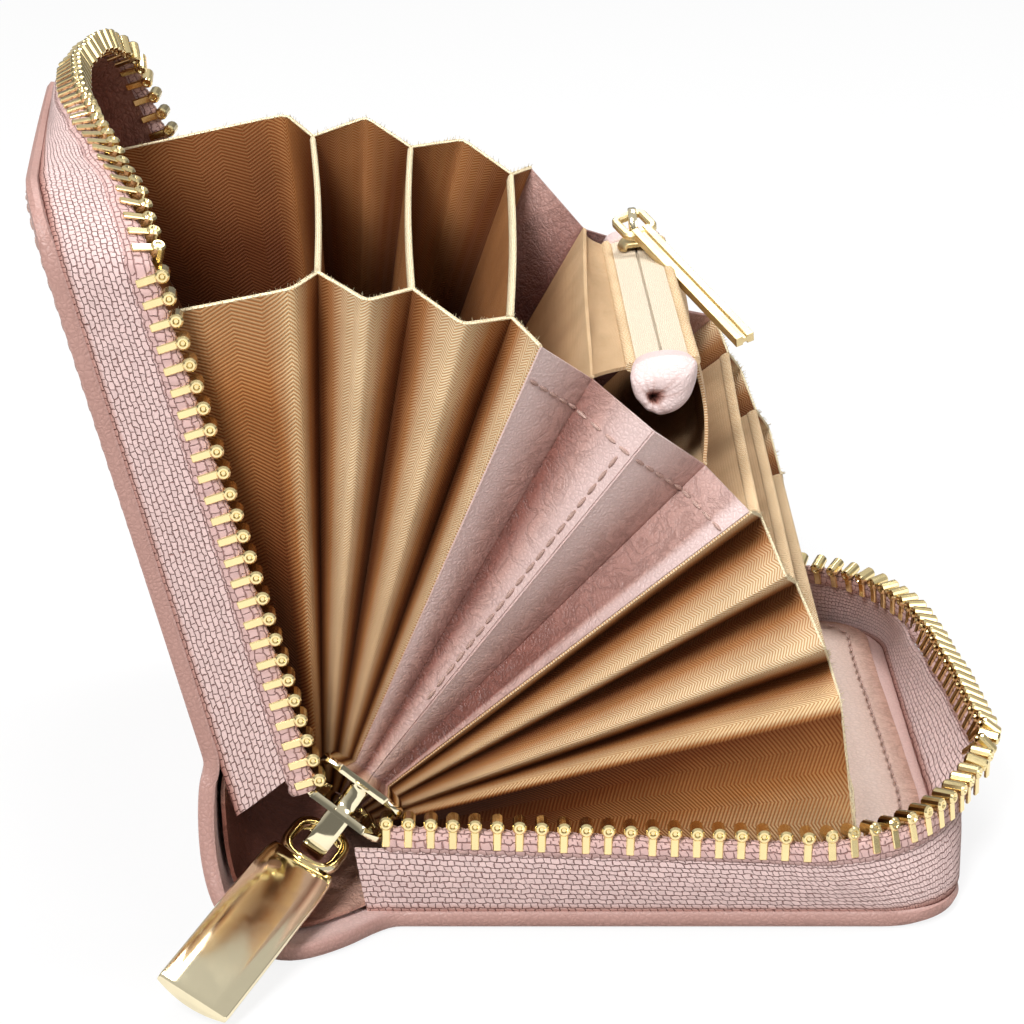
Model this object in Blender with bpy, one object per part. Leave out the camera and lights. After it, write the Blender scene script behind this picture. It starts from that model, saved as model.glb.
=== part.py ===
"""Zip-around accordion wallet, standing open as a fan.

Two soft covers meet at a rounded spine. A zip runs round the three free sides of
each cover, with its slider parked at the near end of the spine. Eight dividers and
pleated gussets fan out between the covers, and the fifth compartment is a zipped
coin pocket.

Frame: metres, +Z up, the spine along Y, the lower cover flat on the ground and
reaching towards +X. Shapes are worked out from the apex of the two tooth rows,
then the whole model is set down with the middle of its box over the origin.
"""

import math

import bpy

# Overall sizes
COVER_REACH = 0.0905
COVER_HALF_LENGTH = 0.0565
COVER_CORNER = 0.012
ROW_REACH = 0.0984
ROW_SIDE_INSET = 0.0015
ROW_HALF_LENGTH = COVER_HALF_LENGTH - ROW_SIDE_INSET
ROW_CORNER = 0.030
TRAY_DEPTH = 0.0145
CLEARANCE = 0.0003

# Layers of a cover
LEATHER_THICK = 0.0013
LEATHER_EDGE = 0.0004
BOARD_THICK = 0.0008
BOARD_INSET = 0.0024
LINING_THICK = 0.0005
LINING_INSET = 0.0032
SHEET_THICK = 0.0004
SHEET_FROM = 0.0100
SHEET_REACH = 0.0660
SHEET_INSET = 0.0110
SHEET_HALF_LENGTH = ROW_HALF_LENGTH - SHEET_INSET
LOWER_LEATHER_FROM = 0.0060
UPPER_LEATHER_FROM = 0.0040

# Zip of the covers
TOOTH_PITCH = 0.0032
TOOTH_THICK = 0.00130
TOOTH_HALF_WIDTH = 0.00135
TOOTH_TIP = 0.0004
TOOTH_NECK = 0.0010
TOOTH_FOOT = 0.0047
HEAD_HALF_WIDTH = 0.00075
BEAD_TOP = 0.0011
BEAD_HALF_WIDTH = 0.00075
TAPE_THICK = 0.0007
TAPE_TOP = 0.0050
TAPE_INSET = 0.0012
LOWER_CHAIN_FROM = 0.0090
LOWER_TAPE_FROM = 0.0030
UPPER_CHAIN_FROM = -0.0036
UPPER_TAPE_FROM = -0.0020
UPPER_PHASE_SHARE = 0.4375
FAR_CHAIN_FROM = 0.0070
FAR_TAPE_FROM = 0.0040
STOP_LENGTH = 0.0032
STOP_HALF_WIDTH = 0.0016

# How the upper cover stands: it is set off along itself, and it twists a little
COVER_SET_OFF = 0.0120
NEAR_ANGLE = 104.5
FAR_ANGLE = 113.0
COVER_STAND_OFF = 0.0019

# How a row of teeth wanders from the plain tray. It is full at the teeth and dies away down
# the tape, so that the leather keeps its shape. Each pair is a place along the spine, as a
# share of the row's half length, and a share of the size or turn before the table.
WANDER_FULL = 0.0050
WANDER_NONE = 0.0130
WANDER_FROM = 0.0600
WANDER_RUN = 0.0150
LOWER_PULL = 0.0050
LOWER_PULL_SHARES = ((-1.0, -0.9), (-0.8, -1.0), (-0.67, -0.92), (-0.56, -0.68), (-0.45, -0.3),
                     (-0.35, 0.0), (-0.18, -0.16), (0.0, -0.26), (0.29, -0.56), (0.51, -0.84),
                     (0.69, -0.88), (0.87, -0.64), (1.0, -0.4))
UPPER_PULL = 0.0036
UPPER_PULL_SHARES = ((-0.89, 0.0), (-0.73, 0.6), (-0.45, 0.56), (0.18, 0.0), (0.45, -0.5),
                     (0.73, -0.94), (1.0, -1.0))
UPPER_TURN_ANGLE = 2.6
UPPER_TURN_SHARES = ((-1.0, 0.0), (-0.89, 0.5), (-0.73, 0.77), (-0.45, 1.0), (0.0, 0.77),
                     (0.45, 0.42), (1.0, 0.31))
LOWER_RISE = 0.0018
LOWER_DROP = 0.0010
LOWER_RISE_RUN = 0.0700
LOWER_RISE_FADE = 0.0350
HINGE_X = -0.0060
HINGE_Z = 0.0046

# Fan of dividers and gussets, all radii from the fan's own centre near the spine
FAN_X = -0.0050
FAN_Z = -0.0080
NEAR_VALLEY_ANGLES = (89.2, 80.4, 70.8, 61.3, 46.8, 39.0, 30.9, 21.4)
FAR_VALLEY_ANGLES = (93.2, 82.4, 70.8, 60.6, 44.9, 37.4, 29.4, 20.4)
VALLEY_RADII = (0.0880, 0.0868, 0.0862, 0.0826, 0.0817, 0.0824, 0.0809, 0.0802)
NEAR_RIDGE_ANGLES = (91.2, 84.4, 75.4, 68.0, 54.6, 42.0, 34.3, 25.6, 19.6)
FAR_RIDGE_ANGLES = (96.4, 87.7, 76.8, 68.6, 53.6, 40.4, 33.2, 24.6, 18.4)
NEAR_RIDGE_RADII = (0.0880, 0.0868, 0.0858, 0.0862, 0.0830, 0.0832, 0.0813, 0.0809, 0.0802)
FAR_RIDGE_RADII = (0.0902, 0.0892, 0.0876, 0.0864, 0.0832, 0.0834, 0.0815, 0.0809, 0.0802)
FAN_INNER_RADIUS = 0.0080
UPPER_GUSSET_OUT = 0.0680
UPPER_GUSSET_IN = 0.0020
LOWER_GUSSET_OUT = 0.0765
LOWER_GUSSET_IN = 0.0140
GUSSET_SEAT = 0.0100
VALLEY_INSET = 0.0120
RIDGE_INSET = 0.0030
GUSSET_END_INSET = 0.0060
VALLEY_HALF_LENGTH = ROW_HALF_LENGTH - VALLEY_INSET
RIDGE_HALF_LENGTH = ROW_HALF_LENGTH - RIDGE_INSET
GUSSET_END_HALF_LENGTH = ROW_HALF_LENGTH - GUSSET_END_INSET
GUSSET_THICK = 0.0006
POCKET_GUSSET_THICK = 0.0008
FOLD_GAP_SHARE = 0.05

DIVIDER_THICK = 0.0005
DIVIDER_INNER_RADIUS = 0.0230
DIVIDER_END_GAP = 0.0010
BINDING_DEPTH = 0.0020
BINDING_THICK = 0.0011

# Coin pocket closure, on the fifth divider
COIN_NEAR = (0.0449, 0.0657)
COIN_FAR = (0.0437, 0.0633)
COIN_ACROSS_ANGLE = 6.0
COIN_NEAR_INSET = 0.0045
COIN_FAR_INSET = 0.0065
COIN_NEAR_END = COIN_NEAR_INSET - VALLEY_HALF_LENGTH
COIN_FAR_END = VALLEY_HALF_LENGTH - COIN_FAR_INSET
COIN_TAPE_OUTER = 0.0037
COIN_TAPE_INNER = 0.0010
COIN_TAPE_THICK = 0.0006
COIL_HALF_WIDTH = 0.00065
COIL_DIP_HALF_WIDTH = 0.00045
COIL_TOP = 0.0008
COIL_DIP_TOP = 0.0005
COIL_BOTTOM = -0.0004
COIL_PITCH = 0.0014
COIN_TAB_LENGTH = 0.0060
COIN_TAB_HALF_WIDTH = 0.0042
COIN_TAB_TOP = 0.0012
COIN_TAB_DROP = 0.0030
FLAP_THICK = 0.0005
COIN_SLIDER_BACK = 0.0055
COIN_SLIDER_AT = COIN_FAR_END - COIN_SLIDER_BACK
COIN_SLIDER_LENGTH = 0.0080
COIN_SLIDER_HALF_WIDTH = 0.0028
COIN_SLIDER_BOTTOM = 0.0011
COIN_SLIDER_THICK = 0.0012
COIN_BAIL_HEIGHT = 0.0044
COIN_BAIL_WIDTH = 0.0012
COIN_BAIL_THICK = 0.0007
COIN_PULLER_TURN = (0.444, -0.842, -0.268)
COIN_EYE_AHEAD = 0.0025
COIN_EYE_HEIGHT = 0.0029
COIN_PULLER_LENGTH = 0.0345
COIN_PULLER_WIDTH = 0.0024
COIN_PULLER_THICK = 0.0009
COIN_LOOP_HEAD = 0.0023
COIN_LOOP_WIDTH = 0.0046
COIN_LOOP_HOLE = 0.0034
COIN_LOOP_WALL = 0.0008

# Slider of the covers' zip
SLIDER_X = -0.0005
SLIDER_Z = 0.0042
SLIDER_FRONT_INSET = 0.0005
SLIDER_FRONT = SLIDER_FRONT_INSET - ROW_HALF_LENGTH
SLIDER_LENGTH = 0.0110
SLIDER_PLATE_ANGLE = -37.5
SLIDER_PLATE_THICK = 0.0013
SLIDER_PLATE_OUT = 0.0038
SLIDER_HALF_WIDTHS = (0.0046, 0.0054, 0.0056, 0.0048, 0.0040, 0.0034)
SLIDER_POST_HALF_WIDTHS = (0.0006, 0.0015, 0.0017, 0.0012, 0.0009, 0.0007)
SLIDER_STATION_SHARES = (0.0, 0.10, 0.35, 0.65, 0.90, 1.0)
BAIL_WIDTH = 0.0030
BAIL_THICK = 0.0011
BAIL_HEIGHT = 0.0056
BAIL_SPAN = 0.0092
BAIL_SET_BACK = 0.0004
PULLER_EYE_BACK = 0.0020
PULLER_TIP_AHEAD = 0.0281
PULLER_EYE = (-0.0044, SLIDER_FRONT + PULLER_EYE_BACK, -0.0015)
PULLER_TIP = (-0.0199, SLIDER_FRONT - PULLER_TIP_AHEAD, -0.0110)
PULLER_ROLL_ANGLE = -20.0
PULLER_WIDTH = 0.0108
PULLER_LOOP_WIDTH = 0.0082
PULLER_THICK = 0.0024
PULLER_LOOP_THICK = 0.0016
PULLER_LOOP_HEAD = 0.0029
PULLER_LOOP_HOLE = 0.0062
PULLER_LOOP_WALL = 0.0014
PULLER_DOME = 0.0006

# The gussets' apex lines stop short of the slider
APEX_BEHIND_SLIDER = 0.0015
APEX_HALF_LENGTH = -SLIDER_FRONT - SLIDER_LENGTH - APEX_BEHIND_SLIDER

# Spine
SPINE_PATH = (
    (-0.0010, -0.0144),
    (-0.0080, -0.0143),
    (-0.0140, -0.0127),
    (-0.0184, -0.0085),
    (-0.0203, -0.0030),
    (-0.0208, 0.0030),
    (-0.0206, 0.0078),
)
SPINE_BULGE_SHARES = (0.45, 0.95, 1.0, 0.75, 0.5, 0.25, 0.1)
SPINE_THICK = 0.0013
SPINE_LINING_THICK = 0.0006
SPINE_LINING_GAP = 0.0006
SPINE_BULGE = 0.0085
SPINE_LINING_SHORT = 0.0030

# Counts
CORNER_STEPS = 10
STRAIGHT_STEPS = 6
REACH_STEPS = 7
ROW_SHARES = (0.0, 0.012, 0.04, 0.09, 0.15, 0.21, 0.32, 0.44, 0.56, 0.68, 0.79, 0.85,
              0.91, 0.96, 0.988, 1.0)
SPINE_SHARES = (0.0, 0.05, 0.18, 0.35, 0.5, 0.65, 0.82, 0.95, 1.0)
DIVIDER_SHARES = (0.0, 0.16, 0.33, 0.5, 0.67, 0.84, 1.0)
RADIUS_SHARES = (0.0, 0.33, 0.67, 1.0)

COLOURS = {
    "blush_leather": ((0.72, 0.52, 0.49, 1.0), 0.0, 0.55),
    "blush_tape": ((0.70, 0.50, 0.48, 1.0), 0.0, 0.85),
    "blush_lining": ((0.66, 0.47, 0.43, 1.0), 0.0, 0.75),
    "gold_cloth": ((0.58, 0.36, 0.13, 1.0), 0.0, 0.70),
    "cream_tape": ((0.78, 0.66, 0.50, 1.0), 0.0, 0.80),
    "tooth_brass": ((0.85, 0.62, 0.22, 1.0), 1.0, 0.22),
    "pale_gold": ((0.88, 0.76, 0.52, 1.0), 1.0, 0.15),
    "card_board": ((0.42, 0.36, 0.30, 1.0), 0.0, 0.90),
}


def clear_scene():
    for obj in list(bpy.data.objects):
        bpy.data.objects.remove(obj, do_unlink=True)


def material_for(node, colour_name):
    colour, metallic, roughness = COLOURS[colour_name]
    material = bpy.data.materials.new(node)
    material.use_nodes = True
    shader = material.node_tree.nodes["Principled BSDF"]
    shader.inputs["Base Color"].default_value = colour
    shader.inputs["Metallic"].default_value = metallic
    shader.inputs["Roughness"].default_value = roughness
    material.diffuse_color = colour
    return material


def add_mesh(node, points, faces, colour_name, pivot=(0.0, 0.0, 0.0)):
    """One object whose origin is the pivot, with its faces turned outwards."""
    mesh = bpy.data.meshes.new(node)
    local = [tuple(p[i] - pivot[i] for i in range(3)) for p in points]
    mesh.from_pydata(local, [], faces)
    mesh.validate()
    volume = 0.0
    mesh.calc_loop_triangles()
    for triangle in mesh.loop_triangles:
        a, b, c = (mesh.vertices[i].co for i in triangle.vertices)
        volume += a.dot(b.cross(c))
    if volume < 0:
        mesh.flip_normals()
    mesh.materials.append(material_for(node, colour_name))
    obj = bpy.data.objects.new(node, mesh)
    obj.location = pivot
    bpy.context.scene.collection.objects.link(obj)
    return obj


def loft(node, rings, colour_name, pivot=(0.0, 0.0, 0.0)):
    """A closed skin through rings with the same number of points, capped at both ends."""
    count = len(rings[0])
    points = [p for ring in rings for p in ring]
    faces = []
    for r in range(len(rings) - 1):
        a, b = r * count, (r + 1) * count
        for i in range(count):
            j = (i + 1) % count
            faces.append((a + i, a + j, b + j, b + i))
    faces.append(tuple(reversed(range(count))))
    faces.append(tuple(range(len(points) - count, len(points))))
    return add_mesh(node, points, faces, colour_name, pivot)


def sheet(node, front, back, colour_name, pivot=(0.0, 0.0, 0.0)):
    """A closed skin between two grids of points of the same size."""
    rows, columns = len(front), len(front[0])
    points = [p for row in front for p in row] + [p for row in back for p in row]
    shift = rows * columns
    faces = []
    for r in range(rows - 1):
        for c in range(columns - 1):
            a = r * columns + c
            quad = (a, a + 1, a + columns + 1, a + columns)
            faces.append(quad)
            faces.append(tuple(shift + i for i in reversed(quad)))
    rim = [c for c in range(columns)]
    rim += [r * columns + columns - 1 for r in range(1, rows)]
    rim += [(rows - 1) * columns + c for c in range(columns - 2, -1, -1)]
    rim += [r * columns for r in range(rows - 2, 0, -1)]
    for i, a in enumerate(rim):
        b = rim[(i + 1) % len(rim)]
        faces.append((b, a, shift + a, shift + b))
    return add_mesh(node, points, faces, colour_name, pivot)


def along(a, b, share):
    return a + (b - a) * share


def mix(a, b, share):
    return tuple(along(p, q, share) for p, q in zip(a, b))


# The two covers share one description: reach along the cover, place along the
# spine, and depth from the plane of the tooth tips out to the leather.
def looked_up(table, y):
    place = y / ROW_HALF_LENGTH
    if place <= table[0][0]:
        return table[0][1]
    for (start, a), (end, b) in zip(table, table[1:]):
        if place <= end:
            share = (place - start) / (end - start)
            return along(a, b, share * share * (3 - 2 * share))
    return table[-1][1]


def held(value):
    return max(0.0, min(1.0, value))


def wander(reach, depth):
    """How much of a row's wandering is felt at this place, and at this depth alone."""
    at_depth = held((WANDER_NONE - depth) / (WANDER_NONE - WANDER_FULL))
    return at_depth * held((reach - WANDER_FROM) / WANDER_RUN), at_depth


def lower_place(reach, y, depth):
    felt, at_depth = wander(reach, depth)
    near = held((-y - COVER_HALF_LENGTH + LOWER_RISE_FADE) / LOWER_RISE_FADE)
    rise = along(LOWER_RISE, -LOWER_DROP, held(reach / LOWER_RISE_RUN)) * near * at_depth
    return (reach + felt * LOWER_PULL * looked_up(LOWER_PULL_SHARES, y), y, rise - depth)


def upper_place(reach, y, depth):
    felt, _ = wander(reach, depth)
    share = (y + COVER_HALF_LENGTH) / (2 * COVER_HALF_LENGTH)
    extra = felt * UPPER_TURN_ANGLE * looked_up(UPPER_TURN_SHARES, y)
    angle = math.radians(along(NEAR_ANGLE, FAR_ANGLE, share) + extra)
    run = reach + COVER_SET_OFF + felt * UPPER_PULL * looked_up(UPPER_PULL_SHARES, y)
    depth += COVER_STAND_OFF
    return (
        run * math.cos(angle) - depth * math.sin(angle),
        y,
        run * math.sin(angle) + depth * math.cos(angle),
    )


def rounded_reach(y, reach, half_length, corner):
    past = abs(y) - (half_length - corner)
    if past <= 0:
        return reach
    return reach - corner + math.sqrt(max(corner * corner - past * past, 0.0))


def cover_slab(node, place, start, inset, depths, colour_name, corner, edge=0.0):
    """A layer of a cover between two depths, with its free corners rounded."""
    half_length = COVER_HALF_LENGTH - inset
    reach = COVER_REACH - inset
    shallow, deep = depths
    front, back = [], []
    for share in ROW_SHARES:
        y = along(-half_length, half_length, share)
        end = rounded_reach(y, reach, half_length, corner)
        steps = [along(start, end, i / REACH_STEPS) for i in range(REACH_STEPS + 1)]
        front.append([place(s, y, shallow) for s in steps])
        inner = [along(start, end - edge, i / REACH_STEPS) for i in range(REACH_STEPS + 1)]
        limit = half_length - edge
        y_in = max(-limit, min(limit, y))
        back.append([place(s, y_in, deep) for s in inner])
    return sheet(node, front, back, colour_name)


# A row of the zip: a near straight, a corner, the long side, a corner and a far
# straight. Each piece of the base line answers to the same piece of the tooth line.
def row_pieces(near_start, far_start, reach, half_length, corner):
    turn = math.pi * corner / 2
    side = 2 * (half_length - corner)
    return (
        ("near", reach - corner - near_start),
        ("corner_near", turn),
        ("side", side),
        ("corner_far", turn),
        ("far", reach - corner - far_start),
    )


def row_point(piece, share, start_near, start_far, reach, half_length, corner):
    """Place (reach, y) and outward direction on one line of the row."""
    if piece == "near":
        return (along(start_near, reach - corner, share), -half_length), (0.0, -1.0)
    if piece == "far":
        return (along(reach - corner, start_far, share), half_length), (0.0, 1.0)
    if piece == "side":
        return (reach, along(corner - half_length, half_length - corner, share)), (1.0, 0.0)
    turn = math.pi / 2 * share
    if piece == "corner_near":
        out = (math.sin(turn), -math.cos(turn))
        centre = (reach - corner, corner - half_length)
    else:
        out = (math.cos(turn), math.sin(turn))
        centre = (reach - corner, half_length - corner)
    return (centre[0] + corner * out[0], centre[1] + corner * out[1]), out


def wall_section(piece, share, starts, profile, place):
    """One ring of points on the zip's wall, from (depth, offset outwards) pairs."""
    top, out = row_point(piece, share, *starts, ROW_REACH, ROW_HALF_LENGTH, ROW_CORNER)
    base, _ = row_point(
        piece, share, *starts, COVER_REACH - TAPE_INSET, COVER_HALF_LENGTH - TAPE_INSET,
        COVER_CORNER - TAPE_INSET,
    )
    ring = []
    for depth, offset in profile:
        share_down = depth / (TRAY_DEPTH - LEATHER_THICK)
        reach = along(top[0], base[0], share_down) + out[0] * offset
        y = along(top[1], base[1], share_down) + out[1] * offset
        ring.append(place(reach, y, depth))
    return ring


def stations(starts):
    """(piece, share) at any length along the tooth line."""
    pieces = row_pieces(*starts, ROW_REACH, ROW_HALF_LENGTH, ROW_CORNER)
    total = sum(length for _, length in pieces)

    def at(run):
        for name, length in pieces:
            if run <= length:
                return name, run / length
            run -= length
        return pieces[-1][0], 1.0

    return total, at


def zip_tape(node, place, starts):
    depths = (TAPE_TOP, TRAY_DEPTH - LEATHER_THICK - CLEARANCE)
    half = TAPE_THICK / 2
    profile = ((depths[0], half), (depths[1], half), (depths[1], -half), (depths[0], -half))
    rings = []
    for piece, _ in row_pieces(*starts, ROW_REACH, ROW_HALF_LENGTH, ROW_CORNER):
        steps = CORNER_STEPS if piece.startswith("corner") else STRAIGHT_STEPS
        first = 0 if piece == "near" else 1
        for i in range(first, steps + 1):
            rings.append(wall_section(piece, i / steps, starts, profile, place))
    return loft(node, rings, "blush_tape")


def zip_chain(node, place, starts, phase_share):
    """A row of teeth on their corded bead, as one stepped bar."""
    foot = TAPE_TOP - CLEARANCE
    bead = (
        (BEAD_TOP, BEAD_HALF_WIDTH * 0.6), (BEAD_TOP + BEAD_HALF_WIDTH, BEAD_HALF_WIDTH),
        (foot - BEAD_HALF_WIDTH, BEAD_HALF_WIDTH), (foot, BEAD_HALF_WIDTH * 0.6),
        (foot, -BEAD_HALF_WIDTH * 0.6), (foot - BEAD_HALF_WIDTH, -BEAD_HALF_WIDTH),
        (BEAD_TOP + BEAD_HALF_WIDTH, -BEAD_HALF_WIDTH), (BEAD_TOP, -BEAD_HALF_WIDTH * 0.6),
    )
    tooth = (
        (-TOOTH_TIP, HEAD_HALF_WIDTH), (TOOTH_NECK, TOOTH_HALF_WIDTH),
        (TOOTH_FOOT - CLEARANCE, TOOTH_HALF_WIDTH), (foot, BEAD_HALF_WIDTH),
        (foot, -BEAD_HALF_WIDTH), (TOOTH_FOOT - CLEARANCE, -TOOTH_HALF_WIDTH),
        (TOOTH_NECK, -TOOTH_HALF_WIDTH), (-TOOTH_TIP, -HEAD_HALF_WIDTH),
    )
    total, at = stations(starts)
    rings = [wall_section(*at(0.0), starts, bead, place)]
    run = TOOTH_PITCH * (1 - phase_share)
    while run + TOOTH_THICK < total:
        for edge, profile in ((run, bead), (run, tooth), (run + TOOTH_THICK, tooth),
                              (run + TOOTH_THICK, bead)):
            rings.append(wall_section(*at(edge), starts, profile, place))
        run += TOOTH_PITCH
    rings.append(wall_section(*at(total), starts, bead, place))
    return loft(node, rings, "tooth_brass")


def zip_stop(node, place, start):
    """The clamp that ends a row at the far end of the spine."""
    rings = []
    ends = (start - CLEARANCE - STOP_LENGTH, start - CLEARANCE)
    for reach in ends:
        rings.append([
            place(reach, ROW_HALF_LENGTH + side * STOP_HALF_WIDTH, depth)
            for side, depth in ((-1, BEAD_TOP), (1, BEAD_TOP), (1, TAPE_TOP), (-1, TAPE_TOP))
        ])
    return loft(node, rings, "tooth_brass")


def build_cover(side, place, leather_from, chain_from, tape_from, phase_share):
    inner = TRAY_DEPTH - LEATHER_THICK
    board = inner - CLEARANCE
    lining = board - BOARD_THICK - CLEARANCE
    sheet_top = lining - LINING_THICK - CLEARANCE
    cover_slab(f"{side}_leather", place, leather_from, 0.0, (inner, TRAY_DEPTH),
               "blush_leather", COVER_CORNER, LEATHER_EDGE)
    cover_slab(f"{side}_board", place, leather_from + BOARD_INSET, BOARD_INSET,
               (board - BOARD_THICK, board), "card_board", COVER_CORNER - BOARD_INSET)
    cover_slab(f"{side}_lining", place, leather_from + BOARD_INSET, LINING_INSET,
               (lining - LINING_THICK, lining), "blush_lining", COVER_CORNER - LINING_INSET)
    front, back = [], []
    for share in DIVIDER_SHARES:
        y = along(-SHEET_HALF_LENGTH, SHEET_HALF_LENGTH, share)
        steps = [along(SHEET_FROM, SHEET_REACH, i / REACH_STEPS) for i in range(REACH_STEPS + 1)]
        front.append([place(s, y, sheet_top - SHEET_THICK) for s in steps])
        back.append([place(s, y, sheet_top) for s in steps])
    sheet(f"{side}_fan_sheet", front, back, "gold_cloth")
    zip_tape(f"{side}_zip_tape", place, (tape_from, FAR_TAPE_FROM))
    zip_chain(f"{side}_zip_chain", place, (chain_from, FAR_CHAIN_FROM), phase_share)
    zip_stop(f"{side}_zip_stop", place, FAR_CHAIN_FROM)


def fan_point(angle, radius, y):
    turn = math.radians(angle)
    return (FAN_X + radius * math.cos(turn), y, FAN_Z + radius * math.sin(turn))


# A fold line of a gusset runs from the apex by the slider out to the free edge.
def fold_line(angle, radius, half_length, end_sign):
    return (
        fan_point(angle, FAN_INNER_RADIUS, end_sign * APEX_HALF_LENGTH),
        fan_point(angle, radius, end_sign * half_length),
    )


def gusset_lines(end_sign):
    """Fold lines in order, from the upper cover round to the lower one."""
    near = end_sign < 0
    ridges = NEAR_RIDGE_ANGLES if near else FAR_RIDGE_ANGLES
    radii = NEAR_RIDGE_RADII if near else FAR_RIDGE_RADII
    valleys = NEAR_VALLEY_ANGLES if near else FAR_VALLEY_ANGLES
    lines = [(
        upper_place(UPPER_GUSSET_IN, end_sign * APEX_HALF_LENGTH, GUSSET_SEAT),
        upper_place(UPPER_GUSSET_OUT, end_sign * GUSSET_END_HALF_LENGTH, GUSSET_SEAT),
    )]
    for i, ridge in enumerate(ridges):
        lines.append(fold_line(ridge, radii[i], RIDGE_HALF_LENGTH, end_sign))
        if i < len(valleys):
            lines.append(fold_line(valleys[i], VALLEY_RADII[i], VALLEY_HALF_LENGTH, end_sign))
    lines.append((
        lower_place(LOWER_GUSSET_IN, end_sign * APEX_HALF_LENGTH, GUSSET_SEAT),
        lower_place(LOWER_GUSSET_OUT, end_sign * GUSSET_END_HALF_LENGTH, GUSSET_SEAT),
    ))
    return lines


def fold_strip(node, lines, thick, colour_name, pivot):
    half = thick / 2
    rings = []
    for inner, outer in lines:
        rings.append([
            (inner[0], inner[1] - half, inner[2]), (outer[0], outer[1] - half, outer[2]),
            (outer[0], outer[1] + half, outer[2]), (inner[0], inner[1] + half, inner[2]),
        ])
    return loft(node, rings, colour_name, pivot)


def trimmed(lines, first, last):
    """The lines from first to last, with each end drawn back where another strip starts."""
    chosen = list(lines[first:last + 1])
    if first > 0:
        chosen[0] = tuple(mix(a, b, FOLD_GAP_SHARE) for a, b in zip(chosen[0], chosen[1]))
    if last < len(lines) - 1:
        chosen[-1] = tuple(mix(a, b, FOLD_GAP_SHARE) for a, b in zip(chosen[-1], chosen[-2]))
    return chosen


def build_gussets(pivot):
    pocket_first, pocket_last = 7, 11
    for end, end_sign in (("near", -1), ("far", 1)):
        lines = gusset_lines(end_sign)
        fold_strip(f"{end}_gusset_upper", trimmed(lines, 0, pocket_first), GUSSET_THICK,
                   "gold_cloth", pivot)
        fold_strip(f"{end}_gusset_pocket", trimmed(lines, pocket_first, pocket_last),
                   POCKET_GUSSET_THICK, "blush_leather", pivot)
        fold_strip(f"{end}_gusset_lower", trimmed(lines, pocket_last, len(lines) - 1),
                   GUSSET_THICK, "gold_cloth", pivot)


def divider_half_length(radius, outer_radius):
    """Where the gusset's valley stands at this radius, less the gap to it."""
    share = (radius - FAN_INNER_RADIUS) / (outer_radius - FAN_INNER_RADIUS)
    return along(APEX_HALF_LENGTH, VALLEY_HALF_LENGTH, share) - DIVIDER_END_GAP


def build_divider(index, pivot):
    """One panel, bound along its free edge, set a hair inside the gusset's valleys."""
    outer = VALLEY_RADII[index]
    bound = outer - BINDING_DEPTH
    radii = [along(DIVIDER_INNER_RADIUS, bound, s) for s in RADIUS_SHARES]
    columns = [(r, DIVIDER_THICK) for r in radii] + [(bound, BINDING_THICK), (outer, BINDING_THICK)]
    front, back = [], []
    for share in DIVIDER_SHARES:
        angle = math.radians(along(NEAR_VALLEY_ANGLES[index], FAR_VALLEY_ANGLES[index], share))
        out = (math.cos(angle), math.sin(angle))
        for grid, side in ((front, 0.5), (back, -0.5)):
            row = []
            for radius, thick in columns:
                half_length = divider_half_length(radius, outer)
                y = along(-half_length, half_length, share)
                off = thick * side
                row.append((FAN_X + radius * out[0] - off * out[1], y,
                            FAN_Z + radius * out[1] + off * out[0]))
            grid.append(row)
    return sheet(f"divider_{index + 1}", front, back, "gold_cloth", pivot)


def coin_frame(y):
    share = (y - COIN_NEAR_END) / (COIN_FAR_END - COIN_NEAR_END)
    centre = mix(COIN_NEAR, COIN_FAR, share)
    angle = math.radians(COIN_ACROSS_ANGLE)
    return centre, (math.cos(angle), math.sin(angle)), (-math.sin(angle), math.cos(angle))


def coin_point(y, across, up):
    centre, a, n = coin_frame(y)
    return (centre[0] + across * a[0] + up * n[0], y, centre[1] + across * a[1] + up * n[1])


def coin_bar(node, stations_and_profiles, colour_name, pivot):
    rings = [[coin_point(y, across, up) for across, up in profile]
             for y, profile in stations_and_profiles]
    return loft(node, rings, colour_name, pivot)


def rectangle(low_across, high_across, low_up, high_up):
    return ((low_across, low_up), (high_across, low_up), (high_across, high_up),
            (low_across, high_up))


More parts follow.
